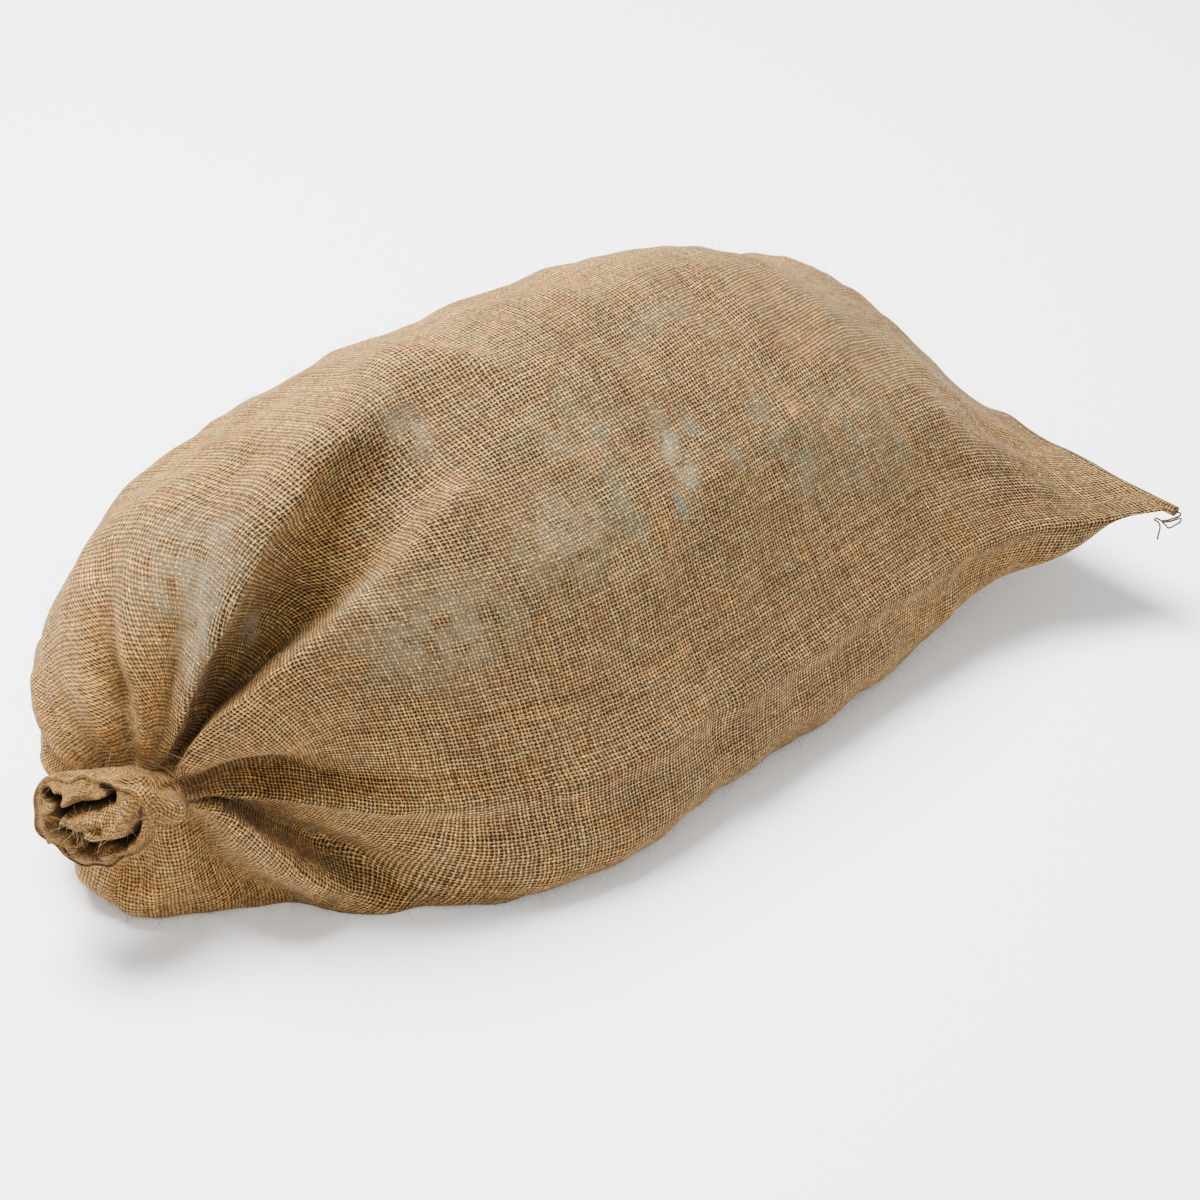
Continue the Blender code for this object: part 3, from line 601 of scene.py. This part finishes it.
def new_piece(name, points, faces):
    """A smooth piece from points in the maker's frame."""
    mesh = bpy.data.meshes.new(name)
    mesh.from_pydata((points - (NECK_TO_CENTRE, 0, 0)).tolist(), [], faces)
    mesh.shade_smooth()
    return new_object(name, mesh)


def lay_cloth(piece, places):
    """Writes where each corner of each face is on the flat cloth."""
    corners = piece.data.uv_layers.new(name="cloth").data
    corners.foreach_set("uv", places.astype(np.float32).ravel())


def grid_quads(rings, count, first):
    """Corners of the quads between the rings, as vertex numbers and as places in a grid one column wider."""
    ring, column = np.meshgrid(np.arange(rings - 1), np.arange(count), indexing="ij")
    ring, column = ring.ravel(), column.ravel()
    after = (column + 1) % count
    start = first + ring * count
    quads = np.stack([start + column, start + after, start + count + after, start + count + column], axis=1)
    in_rings = np.stack([ring, ring, ring + 1, ring + 1], axis=1)
    in_columns = np.stack([column, column + 1, column + 1, column], axis=1)
    return quads, (in_rings, in_columns)


def sack_piece(surface):
    points, face_cloth, side_cloth, middle = surface
    rings, count = points.shape[:2]
    face_rings = len(face_cloth)
    face_quads, face_places = grid_quads(face_rings, count, 1)
    side_quads, side_places = grid_quads(len(side_cloth), count, 1 + (face_rings - 1) * count)
    fan = [(0, 1 + (j + 1) % count, 1 + j) for j in range(count)]
    fan_cloth = np.repeat(face_cloth[0, :count, None], 3, axis=1)
    last = 1 + (rings - 1) * count
    order = [(count // 4 + j) % count for j in range(count)]
    half = count // 2
    over = [last + j for j in order[:half + 1]]
    under = [last + order[0]] + [last + j for j in reversed(order[half:])]
    ends = bridge(over, under)
    end_cloth = side_cloth[-1][np.array(ends) - last]
    verts = np.concatenate([middle[None], points.reshape(-1, 3)])
    piece = new_piece("burlap_sack", verts, face_quads.tolist() + side_quads.tolist() + fan + ends)
    parts = (face_cloth[face_places], side_cloth[side_places], fan_cloth, end_cloth)
    lay_cloth(piece, np.concatenate([part.reshape(-1, 2) for part in parts]))
    return piece, side_cloth, (rings - len(side_cloth)) * count + 1


def deselect():
    for shown in bpy.context.selected_objects:
        shown.select_set(False)


def tube_template(sides):
    """Points and faces of an open tube along z from 0 to 1 with a radius of 1, with no cuts across it."""
    deselect()
    bpy.ops.mesh.primitive_cylinder_add(
        vertices=sides, radius=1, depth=1, end_fill_type="NOTHING", location=(0, 0, 0))
    tube = bpy.context.object
    points = np.array([vertex.co for vertex in tube.data.vertices])
    points[:, 2] += 0.5
    faces = np.array([face.vertices for face in tube.data.polygons])
    bpy.data.objects.remove(tube)
    return points, faces


def tube_copies(name, points, faces):
    """Copies of a tube as one piece, from the points of every copy and the faces of the first."""
    firsts = np.arange(len(points)) * points.shape[1]
    all_faces = faces + firsts[:, None, None]
    return new_piece(name, points.reshape(-1, 3), all_faces.reshape(-1, 4).tolist())


def fuzz_piece(surface):
    """Straight loose fibres that stand off the hessian, many along the lower edge, copied from one tube."""
    rng = np.random.default_rng(FUZZ_SEED)
    grid = surface[0]
    rings, columns = grid.shape[:2]
    turn = (FIRST_TURN + np.arange(columns) / columns + 0.5) % 1 - 0.5
    low_edge = np.flatnonzero((turn > LOW_EDGE[0]) & (turn < LOW_EDGE[1]))
    sides = FACE_RINGS + FLARE_RINGS
    on_mouth = rng.integers(0, sides, FUZZ_MOUTH)
    ring = np.concatenate([on_mouth, rng.integers(sides, rings, FUZZ_ALL_OVER + FUZZ_LOW_EDGE)])
    anywhere = rng.integers(0, columns, FUZZ_MOUTH + FUZZ_ALL_OVER)
    column = np.concatenate([anywhere, rng.choice(low_edge, FUZZ_LOW_EDGE)])
    roots = grid[ring, column]
    out = outward(grid)[ring, column]
    count = len(roots)
    way = unit(out * rng.uniform(*FUZZ_RISE, (count, 1)) + rng.normal(0, FUZZ_SCATTER, (count, 3)))
    way += out * np.maximum(0, FUZZ_LEAST_RISE - (way * out).sum(axis=1, keepdims=True))
    side = unit(np.cross(way, rng.normal(0, 1, (count, 3))))
    other = np.cross(way, side)
    length = rng.uniform(*FUZZ_LENGTHS, (count, 1, 1))
    lean = rng.uniform(-FUZZ_LEAN, FUZZ_LEAN, (count, 1, 1))
    tube, faces = tube_template(sides=3)
    x, y, z = (tube[:, k:k + 1] for k in range(3))
    radius = FUZZ_RADIUS * (1 - FUZZ_TAPER * z)
    points = roots[:, None] + way[:, None] * (z * length) + side[:, None] * (lean * length * z)
    points += side[:, None] * x * radius + other[:, None] * y * radius
    points[..., 2] = np.maximum(points[..., 2], FLOOR_GAP)
    return tube_copies("loose_fibres", points, faces)


def seam_frame(f):
    """Along the bottom seam, from 0 to 1: its place, the ways ahead, aside and up, and half its thickness."""
    row = thousandths(SECTIONS[-1][1:TOP_POINTS + 1])
    before, path, after = (panel(row, np.clip(f + step, 0, 1)) for step in (-SEAM_STEP, 0, SEAM_STEP))
    ahead = unit(after - before)
    side = unit(np.cross(ahead, (0, 0, 1)))
    run = f * SEAM_RUN
    uneven = 1 + swells(run, run * 0, SEAM_WAVES, SEAM_UNEVENNESS, SEAM_WAVE_LENGTHS)
    near_tip = np.clip(np.abs(f * 2 - 1) * (1 + SEAM_TIP) - SEAM_TIP, 0, SEAM_TIP_LIMIT)
    blunt = np.sqrt(1 - near_tip**SEAM_BLUNTNESS)
    return path, ahead, side, np.cross(side, ahead), (SEAM_ROLL * uneven * blunt)[:, None]


def stitches_piece():
    """Stitches along the bottom seam: short straight tubes across its underside, copied from one."""
    tube, faces = tube_template(sides=5)
    x, y, z = (tube[:, k:k + 1] for k in range(3))
    frame_at = seam_frame(np.linspace(*STITCH_SPAN, STITCHES))
    path, ahead, side, up, thick = (part[:, None] for part in frame_at)
    angle = math.pi * np.interp(z, (0, 1), STITCH_WRAP)
    away = side * np.cos(angle) * SEAM_FLATNESS + up * np.sin(angle)
    points = path + away * (thick + STITCH_RADIUS * (STITCH_LIFT + x))
    points += ahead * ((z - 0.5) * STITCH_SLANT + y * STITCH_RADIUS)
    return tube_copies("seam_stitches", points, faces)


def seam_piece():
    """The bottom seam's roll: one straight tube from ear to ear, a little below the cloth's closed edge."""
    tube, faces = tube_template(sides=12)
    f = tube[:, 2]
    path, ahead, side, up, thick = seam_frame(f)
    reach = np.sign(f - 0.5) * SEAM_OVERHANG
    aside = side * (tube[:, :1] * thick * SEAM_FLATNESS)
    points = path + ahead * reach[:, None] + aside + up * (tube[:, 1:2] * thick)
    piece = new_piece("bottom_seam", points, faces.tolist())
    around = np.arctan2(tube[:, 1], tube[:, 0]) * SEAM_ROLL
    places = np.stack([f * SEAM_RUN, around], axis=1)[faces]
    # Faces that close the tube have corners at both ends of the way round it.
    closing = np.ptp(places[..., 1], axis=1) > SEAM_ROLL * math.pi
    places[..., 1] += (closing[:, None] & (places[..., 1] < 0)) * 2 * math.pi * SEAM_ROLL
    lay_cloth(piece, places)
    bpy.context.view_layer.objects.active = piece
    deselect()
    piece.select_set(True)
    bpy.ops.object.mode_set(mode="EDIT")
    bpy.ops.mesh.select_all(action="SELECT")
    bpy.ops.mesh.fill_holes(sides=0)
    bpy.ops.mesh.normals_make_consistent(inside=False)
    bpy.ops.object.mode_set(mode="OBJECT")
    piece.data.shade_smooth()
    return piece


def thread_points():
    """The route of the loose thread, smoothed."""
    along = unit(np.array(THREAD_ALONG))
    out = np.array([along[1], -along[0], 0])
    route = thousandths(SECTIONS[-1][1]) + thousandths(THREAD_ROUTE) @ np.array([along, (0, 0, 1), out])
    at = np.arange(len(route), dtype=float)
    return curve_through(route, at, np.linspace(0, at[-1], (len(route) - 1) * THREAD_STEPS + 1))


def thread_piece():
    """The loose end of the closing thread, as one open curve of its own length."""
    points = thread_points() - (NECK_TO_CENTRE, 0, 0)
    curve = bpy.data.curves.new("loose_thread", "CURVE")
    curve.dimensions = "3D"
    curve.bevel_depth = THREAD_THICKNESS * THREAD_FLUFF
    curve.bevel_resolution = 3
    curve.use_fill_caps = True
    spline = curve.splines.new("POLY")
    spline.points.add(len(points) - 1)
    for point, place in zip(spline.points, points):
        point.co = (*place, 1)
    length = float(np.linalg.norm(np.diff(points, axis=0), axis=1).sum())
    return new_object("loose_thread", curve), points, length


# ---- finishes


def operation(name):
    """A method that works a value out with a Math node."""
    def work_out(self, *others):
        return self.finish.value("Math", {"operation": name}, dict(enumerate((self, *others))))
    return work_out


class Value:
    """A socket in a formula. Each operator adds the Math node that works it out."""

    __add__ = __radd__ = operation("ADD")
    __sub__ = operation("SUBTRACT")
    __mul__ = __rmul__ = operation("MULTIPLY")
    __truediv__ = operation("DIVIDE")
    floor = operation("FLOOR")
    cosine = operation("COSINE")
    size = operation("ABSOLUTE")
    above = operation("GREATER_THAN")
    below = operation("LESS_THAN")
    larger = operation("MAXIMUM")
    smaller = operation("MINIMUM")

    def __init__(self, finish, socket):
        self.finish = finish
        self.socket = socket

    def __rsub__(self, other):
        return (self * -1) + other

    def between(self, low, high):
        """0 at low, 1 at high, and smooth between them."""
        settings = {"interpolation_type": "SMOOTHSTEP"}
        return self.finish.value("MapRange", settings, {"Value": self, "From Min": low, "From Max": high})


class Finish:
    """A material and its nodes."""

    def __init__(self, name):
        self.material = bpy.data.materials.new(name)
        self.material.use_nodes = True
        self.tree = self.material.node_tree
        self.tree.nodes.clear()

    def node(self, kind, settings=None, inputs=None):
        """Adds a node: its settings first, then the values or links of its sockets."""
        made = self.tree.nodes.new("ShaderNode" + kind)
        for name, value in (settings or {}).items():
            if name == "stops":
                ramp = made.color_ramp
                while len(ramp.elements) < len(value):
                    ramp.elements.new(1)
                for element, (place, colour) in zip(ramp.elements, value):
                    element.position = place
                    element.color = (*colour, 1)
            else:
                setattr(made, name, value)
        for name, value in (inputs or {}).items():
            source = value.socket if isinstance(value, Value) else value
            if isinstance(source, bpy.types.NodeSocket):
                self.tree.links.new(source, made.inputs[name])
            else:
                made.inputs[name].default_value = source
        return made

    def value(self, kind, settings=None, inputs=None, output=0):
        return Value(self, self.node(kind, settings, inputs).outputs[output])

    def place(self, x, y, z=0.0):
        """A vector from three numbers or values."""
        return self.node("CombineXYZ", None, {0: x, 1: y, 2: z}).outputs[0]

    def parts(self, vector):
        """The three numbers of a vector."""
        made = self.node("SeparateXYZ", None, {0: vector})
        return [Value(self, part) for part in made.outputs]

    def noise(self, x, y, detail=2.0, roughness=0.5):
        """Smooth noise, about 0.25 to 0.75, one swell for each unit of x and y."""
        settings = {"noise_dimensions": "2D"}
        inputs = {"Vector": self.place(x, y), "Scale": 1.0, "Detail": detail, "Roughness": roughness}
        return self.value("TexNoise", settings, inputs)

    def chance(self, number):
        """A random value from 0 to 1 for each whole number."""
        return self.value("TexWhiteNoise", {"noise_dimensions": "1D"}, {"W": number})

    def attribute(self, name):
        return self.value("Attribute", {"attribute_name": name}, None, "Fac")

    def ramp(self, factor, stops):
        return self.node("ValToRGB", {"stops": stops}, {"Fac": factor}).outputs[0]

    def mix(self, factor, first, second, blend="MIX"):
        """A colour between two others. A colour is a socket or three numbers."""
        first, second = ((*c, 1) if isinstance(c, tuple) else c for c in (first, second))
        settings = {"data_type": "RGBA", "blend_type": blend}
        return self.node("Mix", settings, {0: factor, 6: first, 7: second}).outputs[2]

    def grey(self, value):
        return self.node("CombineColor", None, {0: value, 1: value, 2: value}).outputs[0]

    def surface(self, inputs, height, depth):
        """The shader, with a bumped normal, on the material's output."""
        bump = self.node("Bump", None, {"Height": height, "Distance": depth, "Strength": 1.0})
        shader = self.node("BsdfPrincipled", None, {**inputs, "Normal": bump.outputs[0]})
        self.node("OutputMaterial", None, {"Surface": shader.outputs[0]})
        return self.material


def yarn_side(finish, place, number, slub, slack, seeds):
    """How far a place is from the middle of its yarn, as a share of half the yarn's width."""
    shift = (finish.chance(number + seeds[0]) - 0.5) * YARN_SHIFT
    spread = (finish.chance(number + seeds[1]) - 0.5) * YARN_SPREAD
    half_width = YARN_HALF_WIDTH - slack + (slub - 0.5) * SLUB_SIZE + spread
    return (place - number - 0.5 + shift).size() / half_width


def yarn_height(side, number, crossing, first_way):
    """Height of a round yarn that goes over and under those it crosses, first over where first_way is 1."""
    way = 1 - (number - (number / 2).floor() * 2) * 2
    wave = ((crossing - 0.5) * math.pi).cosine() * way
    return side.below(1) * ((1 - side * side) * YARN_ROUND + wave * (YARN_WAVE * first_way) + YARN_BASE)


def weave(finish, along, across, slack):
    """A plain weave: its height, whether a lengthwise yarn is on top, where a hole is, and yarn numbers."""
    x = along / YARN_PITCH + (finish.noise(along * 30, across * 90) - 0.5) * YARN_WANDER
    y = across / YARN_PITCH + (finish.noise(along * 90 + 7.7, across * 30) - 0.5) * YARN_WANDER
    weft = x.floor()
    warp = y.floor()
    warp_side = yarn_side(finish, y, warp, finish.noise(along * 240, warp * 5.3), slack, (0.77, 0.13))
    weft_side = yarn_side(finish, x, weft, finish.noise(weft * 5.3, across * 240), slack, (0.31, 0.59))
    warp_high = yarn_height(warp_side, warp, x, 1)
    weft_high = yarn_height(weft_side, weft, y, -1)
    hole = 1 - warp_side.below(1).larger(weft_side.below(1))
    return warp_high.larger(weft_high), warp_high.above(weft_high), hole, warp, weft


STRAW = (0.655, 0.412, 0.170)
GOLD = (0.490, 0.282, 0.096)
TAN = (0.382, 0.203, 0.068)
RUSSET = (0.250, 0.107, 0.033)
ORANGE_TINT = (1.05, 0.95, 0.82)
OLIVE_TINT = (0.96, 1.00, 1.00)
TOP_TINT = (0.97, 0.985, 0.80)
GATHER_TINT = (0.97, 0.88, 0.76)
# Painted shade laid into the mouth's deep slits.
CREVICE_SHADE_TINT = (0.20, 0.14, 0.095)
# Painted shade: the sack's unlit inside, seen through the weave's holes.
HOLE_SHADE = (0.004, 0.0022, 0.0012)
FILL_TAN = (0.030, 0.017, 0.007)
FILL_BLUE = (0.040, 0.088, 0.088)
FILL_PALE = (0.150, 0.180, 0.155)
PALE_YARN = (0.400, 0.330, 0.210)
FILL_TEAL = (0.020, 0.130, 0.150)
RUST = (0.45, 0.19, 0.05)


def hessian():
    finish = Finish("hessian")
    along, across, _ = finish.parts(finish.node("UVMap", {"uv_map": "cloth"}).outputs[0])
    open_weave = finish.attribute("open_weave")
    loose = finish.noise(along * 18 + 5.3, across * 18, 2.0) - 0.5
    slack = open_weave * 0.145 - 0.085 + loose * 0.09
    height, on_top, hole, warp, weft = weave(finish, along, across, slack)
    warp_tone = finish.chance(warp + 0.21) * 0.20 + finish.noise(along * 60, warp * 3.1) * 0.9 - 0.05
    weft_tone = finish.chance(weft + 0.43) * 0.20 + finish.noise(weft * 3.1, across * 60) * 0.9 - 0.05
    tone = on_top * warp_tone + (1 - on_top) * weft_tone
    yarn = finish.ramp(tone, [(0.15, RUSSET), (0.34, TAN), (0.54, GOLD), (0.80, STRAW)])
    tint = finish.noise(along * 55, across * 55 + 3.7, 3.0)
    yarn = finish.mix(1.0, yarn, finish.mix(tint.between(0.35, 0.65), OLIVE_TINT, ORANGE_TINT), "MULTIPLY")
    strands_warp = finish.noise(along * 300, across * 4200, 1.0)
    strands_weft = finish.noise(along * 4200, across * 300, 1.0)
    strands = on_top * strands_warp + (1 - on_top) * strands_weft
    blotch = finish.noise(along * 14 + 3.1, across * 14, 3.0)
    crossing = finish.chance(warp * 71.3 + weft * 1.7) * 0.62 + 0.74
    spread = finish.attribute("spread")
    # Painted shade in the weave: each yarn is darker towards its edges and where it dips under the yarns it
    # crosses (height), times the real tone of its fibres, blotches and crossings.
    light = (0.030 + height * height * 0.85) * (0.65 + strands * 0.70) * (0.82 + blotch * 0.36) * crossing
    # Painted shade: the mouth's cloth, where spread is 0, is darkened to 0.7 of its colour.
    light = light * (0.70 + spread * 0.30)
    yarn = finish.mix(1.0, yarn, finish.grey(light), "MULTIPLY")
    yarn = finish.mix((height * height).smaller(1.0), yarn, TOP_TINT, "MULTIPLY")
    yarn = finish.mix(finish.attribute("gathered"), yarn, GATHER_TINT, "MULTIPLY")
    patch = finish.noise(along * 70 + 9.2, across * 70, 3.0)
    blue = finish.attribute("blue_fill") * patch.between(0.30, 0.62)
    pale = finish.attribute("pale_fill") * patch.between(0.25, 0.60)
    teal = finish.attribute("teal_fill")
    touching = finish.noise(along * 22 + 1.7, across * 22, 2.0).between(0.42, 0.66)
    # What shows through the holes: near-black painted shade of the sack's inside, mixed with the filling's
    # own colours.
    behind = finish.mix(touching * 0.5, HOLE_SHADE, FILL_TAN)
    behind = finish.mix(blue, behind, FILL_BLUE)
    behind = finish.mix(pale, behind, FILL_PALE)
    behind = finish.mix(teal, behind, FILL_TEAL)
    stain = (blue * 0.06 + pale * 0.16 + teal * 0.30).smaller(0.5)
    yarn = finish.mix(stain, yarn, finish.mix(pale, FILL_BLUE, PALE_YARN))
    yarn = finish.mix(finish.attribute("rust_stain"), yarn, RUST)
    # Painted shade: the mouth's deep slits are darkened in the colour.
    yarn = finish.mix(finish.attribute("crevice"), yarn, CREVICE_SHADE_TINT, "MULTIPLY")
    inputs = {
        "Base Color": finish.mix(hole, yarn, behind),
        "Roughness": 0.82 + strands * 0.16,
        "Specular IOR Level": 0.22,
        "Sheen Weight": 0.05,
        "Sheen Roughness": 0.45,
        "Sheen Tint": (0.95, 0.80, 0.60, 1),
    }
    return finish.surface(inputs, height + strands * 0.12, WEAVE_DEPTH)


def jute(name, light, dark):
    """Twisted jute thread."""
    finish = Finish(name)
    x, y, z = finish.parts(finish.node("TexCoord").outputs["Object"])
    ply = ((x + y + z) * TWIST).cosine() * 0.5 + 0.5
    grain = finish.noise((x + y) * 900, z * 900, 2.0)
    # Partly painted shade: the twist's grooves, where the ply wave that makes the bump is low, take the dark
    # colour; the grain is the thread's real tone.
    colour = finish.mix(ply * 0.6 + grain * 0.5, dark, light)
    inputs = {"Base Color": colour, "Roughness": 0.85, "Specular IOR Level": 0.25}
    return finish.surface(inputs, ply, TWIST_DEPTH)


# How far from the neck the gathered cloth is more orange.
GATHER_REACH = 0.16
# The weave is more open on the near side, this far round from its middle, and at the near ear.
NEAR_MIDDLE = 0.06
NEAR_REACH = 0.30
NEAR_EDGE = 0.10
EAR_PLACE = (0.690, 0.035)
EAR_SIZE = (0.050, 0.055)
FAR_OPENNESS = 0.25
EAR_OPENNESS = 0.55
# Cloth distances between which the cloth comes out of the mouth, and depths of the mouth's slits between
# which painted shade darkens them.
MOUTH_END = (-0.02, 0.03)
CREVICE_SHADE_DEPTHS = (0.002, 0.011)
# Places where the filling or rust shows. Columns, in thousandths: along, across, half length, half width,
# and strength.
FILL_PATCHES = {
    "blue_fill": ((550, 110, 45, 38, 450), (563, 105, 6, 34, 1000), (596, 98, 12, 30, 700),
        (488, 155, 12, 22, 800), (500, 115, 16, 24, 800), (425, 172, 8, 18, 700), (446, 146, 5, 9, 1000),
        (460, 245, 36, 12, 500), (345, 208, 36, 26, 450), (350, 150, 10, 32, 600),
        (110, 300, 50, 45, 700), (100, 203, 18, 14, 500)),
    "pale_fill": ((404, 166, 9, 28, 1000), (105, 290, 40, 36, 850), (200, 120, 50, 36, 500),
        (260, 258, 12, 22, 600), (105, 200, 12, 12, 900), (300, 150, 36, 30, 450)),
    "teal_fill": ((389, 137, 4, 9, 900),),
    "rust_stain": ((512, 152, 6, 4, 800), (420, 225, 7, 7, 350), (345, 190, 9, 9, 350),
        (555, 185, 20, 14, 220)),
}


def cloth_attribute(piece, name, first, values, face=0):
    """Writes a value for every point of the sides and for the mouth's face, whose points come first."""
    made = piece.data.attributes.new(name, "FLOAT", "POINT")
    whole = np.zeros(len(piece.data.vertices), dtype=np.float32)
    whole[first:] = np.ravel(values)
    whole[:first] = face
    made.data.foreach_set("value", whole)


def mark_cloth(piece, side_cloth, first):
    """Writes how the cloth differs from place to place."""
    along, across = side_cloth[:, :-1, 0], side_cloth[:, :-1, 1]
    for name, patches in FILL_PATCHES.items():
        marks = np.zeros_like(along)
        for a, b, length, width, strength in thousandths(patches):
            share = np.hypot((along - a) / length, (across - b) / width)
            marks = np.maximum(marks, strength * np.exp(-(share**3)))
        cloth_attribute(piece, name, first, marks)
    near_side = np.clip((NEAR_REACH - np.abs(across - NEAR_MIDDLE)) / NEAR_EDGE, 0, 1)
    past_mouth = np.interp(along, MOUTH_END, (0, 1))
    ear = bell(np.hypot((along - EAR_PLACE[0]) / EAR_SIZE[0], (across - EAR_PLACE[1]) / EAR_SIZE[1]))
    openness = (FAR_OPENNESS + (1 - FAR_OPENNESS) * near_side) * past_mouth + EAR_OPENNESS * ear
    cloth_attribute(piece, "open_weave", first, openness)
    # spread is 0 on the mouth and 1 past it; the material uses it to darken the mouth as painted shade.
    cloth_attribute(piece, "spread", first, past_mouth)
    cloth_attribute(piece, "gathered", first, bell(along / GATHER_REACH), 1)
    # Painted shade for the mouth's slits: the deeper the face dips, the darker it is coloured.
    _, side, up = mouth_frame()
    face = np.array([vertex.co for vertex in piece.data.vertices[:first]]) + (NECK_TO_CENTRE, 0, 0)
    face -= np.array(MOUTH_CENTRE)
    low = -mouth_relief(np.stack([face @ side, face @ up], axis=1))
    cloth_attribute(piece, "crevice", first, 0, np.interp(low, CREVICE_SHADE_DEPTHS, (0, 1)))


# ---- stage


def stage():
    deselect()
    bpy.ops.mesh.primitive_plane_add(size=FLOOR_SIZE, location=(0, 0, -FLOOR_DROP))
    floor = bpy.context.object
    floor.name = "studio_floor"
    finish = Finish("pale_floor")
    shader = finish.node("BsdfPrincipled", None, {"Base Color": FLOOR_TONE, "Roughness": 0.9})
    finish.node("OutputMaterial", None, {"Surface": shader.outputs[0]})
    floor.data.materials.append(finish.material)


def lamp(name, place, aim, power, size):
    made = bpy.data.lights.new(name, "AREA")
    made.energy = power
    made.size = size
    holder = new_object(name, made)
    holder.location = place
    holder.rotation_euler = (Vector(aim) - Vector(place)).to_track_quat("-Z", "Y").to_euler()


def lights():
    lamp("key_light", (-0.2, 0.75, 2.5), LIGHT_AIM, 370, 1.4)
    lamp("fill_light", (-1.6, -2.2, 1.6), LIGHT_AIM, 46, 2.0)
    world = bpy.data.worlds.new("studio")
    bpy.context.scene.world = world
    world.use_nodes = True
    sky = world.node_tree.nodes["Background"]
    sky.inputs["Color"].default_value = (1, 1, 1, 1)
    sky.inputs["Strength"].default_value = SKY_STRENGTH


def camera():
    made = bpy.data.cameras.new("photo_camera")
    made.sensor_width = 36
    made.lens = CAMERA_LENS
    made.clip_end = 60
    holder = new_object("photo_camera", made)
    holder.location = CAMERA_PLACE
    holder.rotation_euler = (math.radians(90 - CAMERA_DIP), 0, -math.radians(CAMERA_HEADING))
    bpy.context.scene.camera = holder


def finish_piece(piece, material):
    piece.data.materials.append(material)
    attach(piece, "root")


def main():
    camera()
    lights()
    stage()
    thread, route, length = thread_piece()
    twine = jute("reddish_jute", (0.085, 0.026, 0.014), (0.030, 0.009, 0.005))
    finish_piece(thread, twine)
    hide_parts("seam_thread")
    surface = sack_surface()
    sack, side_cloth, first = sack_piece(surface)
    mark_cloth(sack, side_cloth, first)
    cloth = hessian()
    finish_piece(sack, cloth)
    finish_piece(seam_piece(), cloth)
    stitch_jute = jute("stitch_jute", (0.30, 0.17, 0.075), (0.12, 0.060, 0.026))
    finish_piece(stitches_piece(), stitch_jute)
    straw_fibre = jute("straw_fibre", (0.50, 0.34, 0.16), (0.34, 0.20, 0.08))
    finish_piece(fuzz_piece(surface), straw_fibre)
    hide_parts("sack_cloth")


main()
